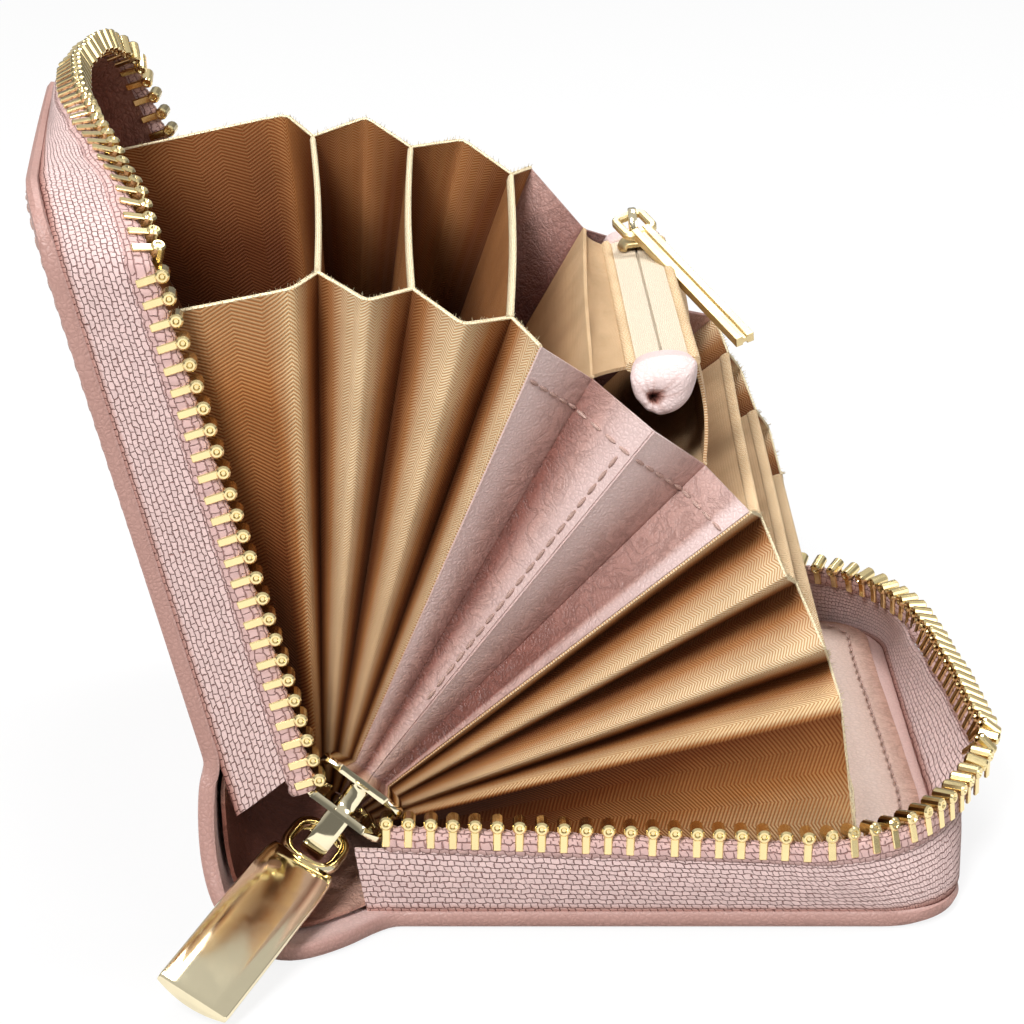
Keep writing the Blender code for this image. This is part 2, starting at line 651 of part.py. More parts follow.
def build_coin_pocket(pivot):
    start, end = COIN_NEAR_END, COIN_FAR_END
    left = rectangle(-COIN_TAPE_OUTER, -COIN_TAPE_INNER, -COIN_TAPE_THICK, 0.0)
    right = rectangle(COIN_TAPE_INNER, COIN_TAPE_OUTER, -COIN_TAPE_THICK, 0.0)
    coin_bar("coin_tape_left", [(start, left), (end, left)], "cream_tape", pivot)
    coin_bar("coin_tape_right", [(start, right), (end, right)], "cream_tape", pivot)
    crest = rectangle(-COIL_HALF_WIDTH, COIL_HALF_WIDTH, COIL_BOTTOM, COIL_TOP)
    dip = rectangle(-COIL_DIP_HALF_WIDTH, COIL_DIP_HALF_WIDTH, COIL_BOTTOM, COIL_DIP_TOP)
    coil, y, turn = [], start, 0
    while y < end:
        coil.append((y, dip if turn % 2 else crest))
        y += COIL_PITCH / 2
        turn += 1
    coil.append((end, crest))
    coin_bar("coin_coil", coil, "cream_tape", pivot)
    for name, near_end in (("coin_tab_near", start - CLEARANCE - COIN_TAB_LENGTH),
                           ("coin_tab_far", end + CLEARANCE)):
        reach = COIN_TAB_HALF_WIDTH
        full = ((-reach, -COIN_TAB_DROP / 2), (-reach / 2, -COIN_TAB_DROP),
                (reach / 2, -COIN_TAB_DROP), (reach, -COIN_TAB_DROP / 2),
                (reach, 0.0), (reach / 2, COIN_TAB_TOP), (-reach / 2, COIN_TAB_TOP),
                (-reach, 0.0))
        middle = -COIN_TAB_DROP / 2
        small = tuple((a / 2, along(middle, u, 0.5)) for a, u in full)
        places = (near_end, near_end + COIN_TAB_LENGTH / 4,
                  near_end + COIN_TAB_LENGTH * 3 / 4, near_end + COIN_TAB_LENGTH)
        profiles = (small, full, full, small)
        coin_bar(name, list(zip(places, profiles)), "blush_leather", pivot)
    build_flaps(pivot)


def flap(node, foot, head, colour_name, pivot):
    """A strip of cloth between two edges, each given as a function of y."""
    front, back = [], []
    for share in DIVIDER_SHARES:
        y = along(COIN_NEAR_END, COIN_FAR_END, share)
        a, b = foot(y), head(y)
        run = (b[0] - a[0], b[2] - a[2])
        size = math.hypot(*run)
        off = (-run[1] / size * FLAP_THICK / 2, run[0] / size * FLAP_THICK / 2)
        columns = [mix(a, b, s) for s in RADIUS_SHARES]
        front.append([(p[0] + off[0], p[1], p[2] + off[1]) for p in columns])
        back.append([(p[0] - off[0], p[1], p[2] - off[1]) for p in columns])
    return sheet(node, front, back, colour_name, pivot)


def build_flaps(pivot):
    def divider_edge(index):
        outer = VALLEY_RADII[index] + CLEARANCE * 2

        def edge(y):
            half_length = divider_half_length(outer, VALLEY_RADII[index])
            share = (y + half_length) / (2 * half_length)
            angle = along(NEAR_VALLEY_ANGLES[index], FAR_VALLEY_ANGLES[index], share)
            return fan_point(angle, outer, y)

        return edge

    beyond = COIN_TAPE_OUTER + CLEARANCE + FLAP_THICK
    middle = -COIN_TAPE_THICK / 2
    flap("coin_wall_left", divider_edge(3), lambda y: coin_point(y, -beyond, middle),
         "gold_cloth", pivot)
    flap("coin_wall_right", divider_edge(4), lambda y: coin_point(y, beyond, middle),
         "gold_cloth", pivot)


def arch_rings(point, width, thick, steps):
    """Rings of a bent flat bar. point(share, lift) gives its centre line raised by lift."""
    rings = []
    for i in range(steps + 1):
        share = i / steps
        low, high = point(share, 0.0), point(share, thick)
        rings.append([low(-width / 2), low(width / 2), high(width / 2), high(-width / 2)])
    return rings


def build_coin_slider():
    start = COIN_SLIDER_AT - COIN_SLIDER_LENGTH / 2
    bottom, top = COIN_SLIDER_BOTTOM, COIN_SLIDER_BOTTOM + COIN_SLIDER_THICK
    half = COIN_SLIDER_HALF_WIDTH
    wide = rectangle(-half, half, bottom, top)
    narrow = rectangle(-half * 0.6, half * 0.6, bottom, top)
    stretch = COIN_SLIDER_LENGTH
    coin_bar("coin_slider_body", [(start, narrow), (start + stretch / 5, wide),
                                  (start + stretch * 3 / 5, wide), (start + stretch, narrow)],
             "pale_gold", (0.0, 0.0, 0.0))

    def bail(share, lift):
        turn = math.pi * share
        y = COIN_SLIDER_AT - math.cos(turn) * (stretch / 3 + lift)
        up = top + CLEARANCE + math.sin(turn) * (COIN_BAIL_HEIGHT - CLEARANCE + lift)
        return lambda across: coin_point(y, across, up)

    loft("coin_slider_bail", arch_rings(bail, COIN_BAIL_WIDTH, COIN_BAIL_THICK, 8), "pale_gold")


def unit(v):
    size = math.sqrt(sum(c * c for c in v))
    return tuple(c / size for c in v)


def cross(a, b):
    return (a[1] * b[2] - a[2] * b[1], a[2] * b[0] - a[0] * b[2], a[0] * b[1] - a[1] * b[0])


def looped_pull(node, eye, run, side, profile, wall, hole, hole_half, colour_name):
    """A pull with a loop at its head. The profile lists (distance from the eye, half width,
    low face, high face), and the loop is cut through by a hidden block."""
    face = cross(side, run)

    def at(distance, across, up):
        return tuple(eye[i] + run[i] * distance + side[i] * across + face[i] * up
                     for i in range(3))

    rings = [[at(d, -w, low), at(d, w, low), at(d, w, high), at(d, -w, high)]
             for d, w, low, high in profile]
    pull = loft(node, rings, colour_name, eye)
    first = profile[0][0] + wall
    block = loft(
        f"{node}_cutter",
        [[at(d, -hole_half, -hole), at(d, hole_half, -hole), at(d, hole_half, hole),
          at(d, -hole_half, hole)] for d in (first, first + hole)],
        colour_name, eye)
    block.hide_render = True
    block.display_type = "WIRE"
    cut = pull.modifiers.new("Loop", "BOOLEAN")
    cut.operation = "DIFFERENCE"
    cut.solver = "EXACT"
    cut.object = block
    return pull


def build_coin_puller():
    run = unit(COIN_PULLER_TURN)
    _, across, _ = coin_frame(COIN_SLIDER_AT)
    sideways = (across[0], 0.0, across[1])
    face = unit(cross(sideways, run))
    side = unit(cross(run, face))
    top = COIN_SLIDER_BOTTOM + COIN_SLIDER_THICK
    eye = coin_point(COIN_SLIDER_AT - COIN_EYE_AHEAD, 0.0, top + COIN_EYE_HEIGHT)
    half, wide, loop_wide = COIN_PULLER_THICK / 2, COIN_PULLER_WIDTH / 2, COIN_LOOP_WIDTH / 2
    neck = COIN_LOOP_HOLE + COIN_LOOP_WALL - COIN_LOOP_HEAD
    looped_pull(
        "coin_puller", eye, run, side,
        [(-COIN_LOOP_HEAD, wide, -half, half),
         (COIN_LOOP_WALL / 2 - COIN_LOOP_HEAD, loop_wide, -half, half),
         (neck, loop_wide, -half, half), (neck + COIN_LOOP_WALL, wide, -half, half),
         (COIN_PULLER_LENGTH, wide, -half, half)],
        COIN_LOOP_WALL, COIN_LOOP_HOLE, loop_wide - COIN_LOOP_WALL, "pale_gold")


def slider_axes():
    turn = math.radians(SLIDER_PLATE_ANGLE)
    across = (math.cos(turn), 0.0, math.sin(turn))
    outward = (math.sin(turn), 0.0, -math.cos(turn))
    return across, outward


def slider_point(across, y, outward):
    a, n = slider_axes()
    return (SLIDER_X + across * a[0] + outward * n[0], y,
            SLIDER_Z + across * a[2] + outward * n[2])


def build_slider():
    out, thick = SLIDER_PLATE_OUT, SLIDER_PLATE_THICK
    inner = out - thick
    rings = []
    for share, half, post in zip(SLIDER_STATION_SHARES, SLIDER_HALF_WIDTHS,
                                 SLIDER_POST_HALF_WIDTHS):
        y = SLIDER_FRONT + SLIDER_LENGTH * share
        outline = (
            (-half, -out), (half, -out), (half, -inner), (post, -inner), (post, inner),
            (half, inner), (half, out), (-half, out), (-half, inner), (-post, inner),
            (-post, -inner), (-half, -inner),
        )
        rings.append([slider_point(a, y, n) for a, n in outline])
    loft("main_slider_body", rings, "pale_gold")

    def bail(share, lift):
        turn = math.pi * share
        middle = SLIDER_FRONT + BAIL_SET_BACK + BAIL_SPAN / 2
        y = middle - math.cos(turn) * (BAIL_SPAN / 2 - BAIL_THICK + lift)
        rise = out + CLEARANCE + math.sin(turn) * (BAIL_HEIGHT - BAIL_THICK + lift)
        return lambda across: slider_point(across, y, rise)

    loft("main_slider_bail", arch_rings(bail, BAIL_WIDTH, BAIL_THICK, 10), "pale_gold")


def puller_axes():
    run = unit(tuple(t - e for t, e in zip(PULLER_TIP, PULLER_EYE)))
    roll = math.radians(PULLER_ROLL_ANGLE)
    across = (math.cos(roll), 0.0, math.sin(roll))
    lean = sum(a * r for a, r in zip(across, run))
    side = unit(tuple(a - lean * r for a, r in zip(across, run)))
    length = math.sqrt(sum((t - e) ** 2 for t, e in zip(PULLER_TIP, PULLER_EYE)))
    return run, side, length


def build_puller():
    run, side, length = puller_axes()
    half, loop_half = PULLER_THICK / 2, PULLER_LOOP_THICK / 2
    wide, loop_wide = PULLER_WIDTH / 2, PULLER_LOOP_WIDTH / 2
    head = PULLER_LOOP_HEAD
    neck = PULLER_LOOP_HOLE + PULLER_LOOP_WALL - head
    looped_pull(
        "main_puller", PULLER_EYE, run, side,
        [(-head, loop_wide * 0.75, -loop_half, loop_half),
         (PULLER_LOOP_WALL / 2 - head, loop_wide, -loop_half, loop_half),
         (neck, loop_wide, -loop_half, loop_half),
         (neck + PULLER_LOOP_WALL, wide * 0.85, -half, half),
         (neck + PULLER_LOOP_WALL * 2, wide, -half, half + PULLER_DOME / 2),
         (along(neck, length, 0.5), wide, -half, half + PULLER_DOME),
         (length - PULLER_LOOP_WALL, wide, -half, half + PULLER_DOME / 2),
         (length, wide * 0.92, -half * 0.6, half * 0.6)],
        PULLER_LOOP_WALL, PULLER_LOOP_HOLE, loop_wide - PULLER_LOOP_WALL, "pale_gold")


def spine_grid(depth_from_outside, short):
    """Rows of the spine's curve, drawn in from its outer face by the given depth."""
    grid = []
    for share in SPINE_SHARES:
        half_length = COVER_HALF_LENGTH - short
        y = along(-half_length, half_length, share)
        depth = TRAY_DEPTH - depth_from_outside
        first = lower_place(LOWER_LEATHER_FROM - CLEARANCE, y, depth)
        last = upper_place(UPPER_LEATHER_FROM - CLEARANCE, y, depth)
        near_last = upper_place(UPPER_LEATHER_FROM - CLEARANCE, -COVER_HALF_LENGTH, depth)
        drift = (last[0] - near_last[0], last[2] - near_last[2])
        centre = (FAN_X, FAN_Z + TRAY_DEPTH / 2)
        row = [first]
        for i, (x, z) in enumerate(SPINE_PATH):
            part = (i + 1) / (len(SPINE_PATH) + 1)
            x, z = x + drift[0] * part ** 3, z + drift[1] * part ** 3
            size = math.hypot(x - centre[0], z - centre[1])
            scale = (size - depth_from_outside) / size
            bulge = SPINE_BULGE * SPINE_BULGE_SHARES[i] * (2 * share - 1) ** 3
            row.append((centre[0] + (x - centre[0]) * scale, y + bulge,
                        centre[1] + (z - centre[1]) * scale))
        row.append(last)
        grid.append(row)
    return grid


def build_spine():
    sheet("spine_leather", spine_grid(0.0, 0.0), spine_grid(SPINE_THICK, 0.0), "blush_leather")
    outer = SPINE_THICK + SPINE_LINING_GAP
    sheet("spine_lining", spine_grid(outer, SPINE_LINING_SHORT),
          spine_grid(outer + SPINE_LINING_THICK, SPINE_LINING_SHORT), "blush_lining")


def set_down():
    """Move everything so that the ground is z = 0 and the box is centred on the origin."""
    bpy.context.view_layer.update()
    corners = []
    for obj in bpy.context.scene.objects:
        if not obj.hide_render:
            corners += [obj.matrix_world @ v.co for v in obj.data.vertices]
    low = [min(c[i] for c in corners) for i in range(3)]
    high = [max(c[i] for c in corners) for i in range(3)]
    shift = (-(low[0] + high[0]) / 2, -(low[1] + high[1]) / 2, -low[2])
    for obj in bpy.context.scene.objects:
        obj.location = [obj.location[i] + shift[i] for i in range(3)]
    bpy.context.view_layer.update()


def main():
    clear_scene()
    hinge = (HINGE_X, 0.0, HINGE_Z)
    build_cover("lower", lower_place, LOWER_LEATHER_FROM, LOWER_CHAIN_FROM, LOWER_TAPE_FROM, 0.0)
    build_cover("upper", upper_place, UPPER_LEATHER_FROM, UPPER_CHAIN_FROM, UPPER_TAPE_FROM,
                UPPER_PHASE_SHARE)
    build_spine()
    build_gussets(hinge)
    for index in range(len(VALLEY_RADII)):
        build_divider(index, hinge)
    build_coin_pocket(hinge)
    build_coin_slider()
    build_coin_puller()
    build_slider()
    build_puller()
    set_down()


main()
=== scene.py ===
import random
from math import ceil, copysign, cos, dist, pi, radians, sin, sqrt

import bmesh
import bpy
from mathutils import Matrix, Vector


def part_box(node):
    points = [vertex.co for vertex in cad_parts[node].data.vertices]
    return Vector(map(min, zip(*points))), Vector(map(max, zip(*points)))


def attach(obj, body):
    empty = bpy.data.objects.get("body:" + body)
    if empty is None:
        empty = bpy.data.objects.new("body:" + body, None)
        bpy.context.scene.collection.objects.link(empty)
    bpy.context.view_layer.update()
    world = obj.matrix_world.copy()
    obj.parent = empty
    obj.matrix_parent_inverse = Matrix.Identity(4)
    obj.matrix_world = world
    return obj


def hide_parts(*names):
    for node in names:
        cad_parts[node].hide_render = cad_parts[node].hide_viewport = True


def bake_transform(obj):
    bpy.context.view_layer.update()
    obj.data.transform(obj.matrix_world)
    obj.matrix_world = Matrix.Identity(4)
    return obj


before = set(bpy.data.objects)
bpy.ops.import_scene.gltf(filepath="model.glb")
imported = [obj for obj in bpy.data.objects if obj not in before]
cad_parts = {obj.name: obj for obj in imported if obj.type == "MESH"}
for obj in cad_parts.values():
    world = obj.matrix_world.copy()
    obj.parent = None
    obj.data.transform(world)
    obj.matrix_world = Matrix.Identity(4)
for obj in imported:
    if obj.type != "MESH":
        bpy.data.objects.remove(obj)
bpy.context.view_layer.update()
print("frame loaded:", len(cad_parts), "nodes")

tray = {
    "reach": 0.0905, "halfLength": 0.0565, "corner": 0.012, "depth": 0.0145, "outer": 0.0155,
    "rowReach": 0.0984, "rowHalfLength": 0.0550, "rowCorner": 0.030,
    "setOff": 0.0120, "standOff": 0.0019, "nearAngle": 104.5, "farAngle": 113.0,
    "lowerFrom": 0.0060, "upperFrom": 0.0040,
    "wanderFull": 0.0050, "wanderNone": 0.0130, "wanderFrom": 0.0600, "wanderRun": 0.0150,
    "lowerPull": ((-1.0, -0.00450), (-0.8, -0.00500), (-0.67, -0.00460), (-0.56, -0.00340),
                  (-0.45, -0.00150), (-0.35, 0.0), (-0.18, -0.00080), (0.0, -0.00130),
                  (0.29, -0.00280), (0.51, -0.00420), (0.69, -0.00440), (0.87, -0.00320),
                  (1.0, -0.00200)),
    "upperTurn": ((-1.0, 0.0), (-0.8, 0.5), (-0.55, 1.8), (-0.30, 2.6), (0.0, 3.3),
                  (0.31, 3.2), (0.55, 2.0), (0.80, 0.8), (0.95, -0.4), (1.0, -0.3)),
    "rise": 0.0018, "drop": 0.0010, "riseRun": 0.0700, "riseFade": 0.0350,
}
leatherLow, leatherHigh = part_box("lower_leather")
apex = Vector((leatherHigh.x - tray["reach"], (leatherLow.y + leatherHigh.y) / 2,
               leatherLow.z + tray["depth"]))


def along(a, b, share):
    return a + (b - a) * share


def smooth(share):
    return share * share * (3 - 2 * share)


def lookedUp(table, place):
    # the value at a place between the table's own, eased from each to the next
    if place <= table[0][0]:
        return table[0][1]
    for (start, a), (end, b) in zip(table, table[1:]):
        if place <= end:
            return along(a, b, smooth((place - start) / (end - start)))
    return table[-1][1]


def held(value):
    return max(0.0, min(1.0, value))


def alongSpine(y):
    return (y + tray["halfLength"]) / (2 * tray["halfLength"])


def wander(reach, depth):
    # how much of the row's wandering is felt at this place, and at this depth alone
    atDepth = held((tray["wanderNone"] - depth) / (tray["wanderNone"] - tray["wanderFull"]))
    return atDepth * held((reach - tray["wanderFrom"]) / tray["wanderRun"]), atDepth


def lowerPlace(reach, y, depth):
    felt, atDepth = wander(reach, depth)
    near = held((-y - tray["halfLength"] + tray["riseFade"]) / tray["riseFade"])
    rise = along(tray["rise"], -tray["drop"], held(reach / tray["riseRun"])) * near * atDepth
    return apex + Vector((reach + felt * lookedUp(tray["lowerPull"], y / tray["rowHalfLength"]),
                          y, rise - depth))


def upperPlace(reach, y, depth):
    felt, _ = wander(reach, depth)
    extra = felt * lookedUp(tray["upperTurn"], y / tray["rowHalfLength"])
    turn = radians(along(tray["nearAngle"], tray["farAngle"], alongSpine(y)) + extra)
    run = reach + tray["setOff"]
    depth += tray["standOff"]
    return apex + Vector((run * cos(turn) - depth * sin(turn), y,
                          run * sin(turn) + depth * cos(turn)))


def inward(place, y=0.0):
    # straight out of a cover's skin into its tray
    return (place(0.02, y, 0.0) - place(0.02, y, 0.01)).normalized()


def deselectAll():
    bpy.ops.object.select_all(action="DESELECT")


def makeActive(piece):
    deselectAll()
    piece.select_set(True)
    bpy.context.view_layer.objects.active = piece


def namePiece(piece, name):
    piece.name = name
    piece.data.name = name
    return piece


def gridPiece(name, columns, rows, place, width=1.0, length=1.0, shade=None):
    # a grid primitive whose points are moved to their place; its UV map is in metres, and
    # shade(u, v) gives the painted shade of each point, deepest in folds
    deselectAll()
    bpy.ops.mesh.primitive_grid_add(x_subdivisions=columns, y_subdivisions=rows, size=2.0)
    piece = namePiece(bpy.context.active_object, name)
    mesh = piece.data
    shadeLayer = mesh.attributes.new("shade", "FLOAT", "POINT") if shade else None
    for vertex in mesh.vertices:
        u, v = (vertex.co.x + 1) / 2, (vertex.co.y + 1) / 2
        if shade:
            shadeLayer.data[vertex.index].value = shade(u, v)
        vertex.co = place(u, v)
    for corner in mesh.uv_layers.active.data:
        corner.uv = (corner.uv[0] * width, corner.uv[1] * length)
    return piece


def applyModifier(piece, kind, **settings):
    makeActive(piece)
    modifier = piece.modifiers.new(kind.title(), kind)
    for key, value in settings.items():
        setattr(modifier, key, value)
    bpy.ops.object.modifier_apply(modifier=modifier.name)


def thicken(piece, thickness, offset=0.0):
    applyModifier(piece, "SOLIDIFY", thickness=thickness, offset=offset,
                  use_even_offset=False)


def roundOff(piece):
    applyModifier(piece, "SUBSURF", levels=1, render_levels=1)


def mergeAndFill(piece):
    makeActive(piece)
    bpy.ops.object.mode_set(mode="EDIT")
    bpy.ops.mesh.select_all(action="SELECT")
    bpy.ops.mesh.remove_doubles(threshold=1e-6)
    bpy.ops.mesh.select_all(action="SELECT")
    bpy.ops.mesh.fill_holes(sides=0)
    bpy.ops.mesh.select_all(action="SELECT")
    bpy.ops.mesh.normals_make_consistent(inside=False)
    bpy.ops.object.mode_set(mode="OBJECT")


def sweep(name, centres, sides, ups, section, closed=False, sizes=None):
    # section points (across, up) carried along a path, as a closed skin
    count, around = len(centres), len(section)
    steps = count if closed else count - 1

    def place(u, v):
        i = round(u * steps) % count
        a, b = section[round(v * around) % around]
        wide, high = sizes[i] if sizes else (1.0, 1.0)
        return centres[i] + sides[i] * (a * wide) + ups[i] * (b * high)

    run = sum((b - a).length for a, b in zip(centres, centres[1:]))
    girth = sum(dist(section[i], section[i - 1]) for i in range(around))
    piece = gridPiece(name, steps, around, place, run, girth)
    mergeAndFill(piece)
    return piece


def shares(count):
    return [i / count for i in range(count + 1)]


def directions(points):
    last = len(points) - 1
    return [(points[min(i + 1, last)] - points[max(i - 1, 0)]).normalized()
            for i in range(last + 1)]


def sidesAlong(points, ups):
    return [forward.cross(up).normalized() for forward, up in zip(directions(points), ups)]


def tubeAlong(name, points, up, radii, around=8, power=1.0):
    sides = sidesAlong(points, [up] * len(points))
    ups = [side.cross(forward).normalized()
           for side, forward in zip(sides, directions(points))]
    return sweep(name, points, sides, ups, ellipse(*radii, around, power))


def ellipse(halfWidth, halfHeight, points=10, power=1.0):
    ring = []
    for i in range(points):
        turn = 2 * pi * (i + 0.5) / points
        c, s = cos(turn), sin(turn)
        ring.append((halfWidth * copysign(abs(c) ** power, c),
                     halfHeight * copysign(abs(s) ** power, s)))
    return ring


def stampCopies(name, template, matrices):
    # every copy has its own points in the one mesh
    joined = bmesh.new()
    for matrix in matrices:
        before = len(joined.verts)
        joined.from_mesh(template.data)
        joined.verts.ensure_lookup_table()
        for vertex in joined.verts[before:]:
            vertex.co = matrix @ vertex.co
    mesh = bpy.data.meshes.new(name)
    joined.to_mesh(mesh)
    joined.free()
    piece = bpy.data.objects.new(name, mesh)
    bpy.context.scene.collection.objects.link(piece)
    return piece


def axesMatrix(origin, x, y, z):
    return Matrix(((x.x, y.x, z.x, origin.x), (x.y, y.y, z.y, origin.y),
                   (x.z, y.z, z.z, origin.z), (0, 0, 0, 1)))


def dress(piece, material, replaced=(), body=None, bend=None, degrees=40):
    # material, replaced CAD nodes, and the body it follows; a piece given a bend is baked where it
    # stands and follows no body
    makeActive(piece)
    bpy.ops.object.shade_smooth_by_angle(angle=radians(degrees))
    piece.data.materials.clear()
    piece.data.materials.append(material)
    if replaced:
        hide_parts(*replaced)
    if bend:
        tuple(bend[2])
        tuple(bend[3])
        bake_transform(piece)
    else:
        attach(piece, body)


def joinInto(name, pieces):
    deselectAll()
    for piece in pieces:
        piece.select_set(True)
    bpy.context.view_layer.objects.active = pieces[0]
    bpy.ops.object.join()
    return namePiece(bpy.context.active_object, name)


def linear(*colour):
    # a colour of 0 to 255 a channel as a shader reads it
    parts = (part / 255 for part in colour)
    return (*(part / 12.92 if part <= 0.04045 else ((part + 0.055) / 1.055) ** 2.4
              for part in parts), 1.0)


def newGroup(name, inputs, outputs):
    group = bpy.data.node_groups.new(name, "ShaderNodeTree")
    group.interface.new_socket("Vector", in_out="INPUT", socket_type="NodeSocketVector")
    for label, value in inputs.items():
        socket = group.interface.new_socket(label, in_out="INPUT", socket_type="NodeSocketFloat")
        socket.default_value = value
    for label in outputs:
        group.interface.new_socket(label, in_out="OUTPUT", socket_type="NodeSocketFloat")
    given = group.nodes.new("NodeGroupInput").outputs
    return group, given, group.nodes.new("NodeGroupOutput")


def setInputs(tree, node, values):
    # each input takes a plain value, or a link from another node's output
    for key, value in values.items():
        if hasattr(value, "is_output"):
            tree.links.new(value, node.inputs[key])
        else:
            node.inputs[key].default_value = value


def addNode(tree, kind, values=None, **settings):
    node = tree.nodes.new("ShaderNode" + kind)
    for key, value in settings.items():
        setattr(node, key, value)
    setInputs(tree, node, values or {})
    return node


def mathNode(tree, operation, *values):
    return addNode(tree, "Math", dict(enumerate(values)), operation=operation).outputs[0]


def ramp(tree, source, low, high, toLow=0.0, toHigh=1.0):
    values = {"Value": source, "From Min": low, "From Max": high, "To Min": toLow,
              "To Max": toHigh}
    return addNode(tree, "MapRange", values, interpolation_type="SMOOTHSTEP").outputs[0]


def mixColours(tree, factor, first, second, blend="MIX"):
    return addNode(tree, "Mix", {0: factor, 6: first, 7: second}, data_type="RGBA",
                   blend_type=blend).outputs[2]


def dimmed(colour, share):
    return (*(min(part * share, 1.0) for part in colour[:3]), 1.0)


def noise(tree, vector, scale, detail, **more):
    values = {"Vector": vector, "Scale": scale, "Detail": detail, **more}
    return addNode(tree, "TexNoise", values).outputs


def pushed(tree, vector, scale, detail, push):
    # the vector, pushed about by noise
    values = {0: noise(tree, vector, scale, detail)["Color"], 1: push, 2: vector}
    return addNode(tree, "VectorMath", values, operation="MULTIPLY_ADD").outputs[0]


def buildLeatherGrain():
    # fine pebbles with creases between them, and a slow mottle
    group, given, result = newGroup("leather grain", {"Size": 1300.0},
                                    ("Height", "Crease", "Mottle"))
    cells = {"Vector": pushed(group, given[0], 260.0, 2.0, (0.0011, 0.0011, 0.0011)),
             "Scale": given[1]}
    edge = addNode(group, "TexVoronoi", cells, feature="DISTANCE_TO_EDGE").outputs["Distance"]
    fine = mathNode(group, "MULTIPLY", noise(group, given[0], 5200.0, 3.0)[0], 0.35)
    slow = noise(group, given[0], 90.0, 4.0, Roughness=0.6)[0]
    setInputs(group, result, {0: mathNode(group, "ADD", ramp(group, edge, 0.0, 0.35), fine),
                              1: ramp(group, edge, 0.0, 0.16, 1.0, 0.0),
                              2: ramp(group, slow, 0.3, 0.72)})
    return group


def buildBrickWeave():
    # thick yarns that cross like small bricks, read from a UV map in metres
    group, given, result = newGroup("brick weave", {"Yarn": 0.00125},
                                    ("Height", "Gap", "Yarns"))
    brick = addNode(group, "TexBrick", {
        "Vector": pushed(group, given[0], 750.0, 3.0, (0.00110, 0.00075, 0.0)),
        "Scale": mathNode(group, "DIVIDE", 1.0, given[1]),
        "Color1": (0.2, 0.2, 0.2, 1), "Color2": (1, 1, 1, 1), "Mortar": (0, 0, 0, 1),
        "Mortar Smooth": 1.0, "Bias": 0.0, "Brick Width": 0.86, "Row Height": 0.60,
        "Mortar Size": 0.08}).outputs
    fibre = noise(group, given[0], 7000.0, 2.0)[0]
    height = mathNode(group, "ADD", mathNode(group, "SUBTRACT", 1.0, brick["Fac"]),
                      mathNode(group, "MULTIPLY", fibre, 0.25))
    tone = mathNode(group, "ADD", mathNode(group, "MULTIPLY", brick["Color"], 0.6),
                    mathNode(group, "MULTIPLY", fibre, 0.4))
    setInputs(group, result, {0: height, 1: brick["Fac"], 2: tone})
    return group


def buildTwill():
    # diagonal ribs that turn back at every band, which makes a herringbone
    group, given, result = newGroup("herringbone", {"Band": 0.0030, "Rib": 0.00055, "Slope": 0.75},
                                    ("Height", "Rib", "Shade"))
    x, y, _ = addNode(group, "SeparateXYZ", {0: given[0]}).outputs
    climb = mathNode(group, "MULTIPLY", mathNode(group, "PINGPONG", x, given[1]), given[3])
    across = mathNode(group, "MULTIPLY", mathNode(group, "ADD", y, climb), 2 * pi)
    turn = mathNode(group, "DIVIDE", across, given[2])
    wave = mathNode(group, "MULTIPLY_ADD", mathNode(group, "SINE", turn), 0.5, 0.5)
    strand = mathNode(group, "SINE", mathNode(group, "MULTIPLY", x, 14000.0))
    height = mathNode(group, "ADD", wave, mathNode(group, "MULTIPLY", strand, 0.12))
    setInputs(group, result, {0: height, 1: wave, 2: noise(group, given[0], 70.0, 4.0)[0]})
    return group


leatherGrain = buildLeatherGrain()
brickWeave = buildBrickWeave()
herringbone = buildTwill()


def newMaterial(name, roughness, metallic=0.0, specular=0.5):
    material = bpy.data.materials.new(name)
    material.use_nodes = True
    tree = material.node_tree
    shader = tree.nodes["Principled BSDF"]
    setInputs(tree, shader, {"Roughness": roughness, "Metallic": metallic,
                             "Specular IOR Level": specular})
    return material, tree, shader


def placeGroup(tree, group, coordinates, **values):
    node = tree.nodes.new("ShaderNodeGroup")
    node.node_tree = group
    values["Vector"] = addNode(tree, "TexCoord").outputs[coordinates]
    setInputs(tree, node, values)
    return list(node.outputs)


def bumpNormal(tree, height, distance, strength):
    values = {"Distance": distance, "Strength": strength, "Height": height}
    return addNode(tree, "Bump", values).outputs[0]


# painted shade that gridPiece stored in each point, darkest deep in folds
def paintedShade(tree):
    return addNode(tree, "Attribute", attribute_name="shade").outputs["Fac"]


# painted shade: the tints that a colour is multiplied by at each depth of the shade attribute
goldShades = ((0.0, (1.0, 1.0, 1.0)), (0.45, (0.50, 0.30, 0.18)),
              (0.75, (0.18, 0.074, 0.034)), (1.0, (0.045, 0.018, 0.010)))
blushShades = ((0.0, (1.0, 1.0, 1.0)), (0.45, (0.66, 0.51, 0.46)),
               (0.75, (0.31, 0.155, 0.125)), (1.0, (0.070, 0.024, 0.016)))


def shaded(tree, colour, shades):
    # the colour of a surface with its painted shade, which darkens it into a fold
    scale = addNode(tree, "ValToRGB", {0: paintedShade(tree)})
    stops = scale.color_ramp.elements
    while len(stops) < len(shades):
        stops.new(0.5)
    for stop, (place, tint) in zip(stops, shades):
        stop.position = place
        stop.color = (*tint, 1.0)
    return mixColours(tree, 1.0, colour, scale.outputs[0], "MULTIPLY")


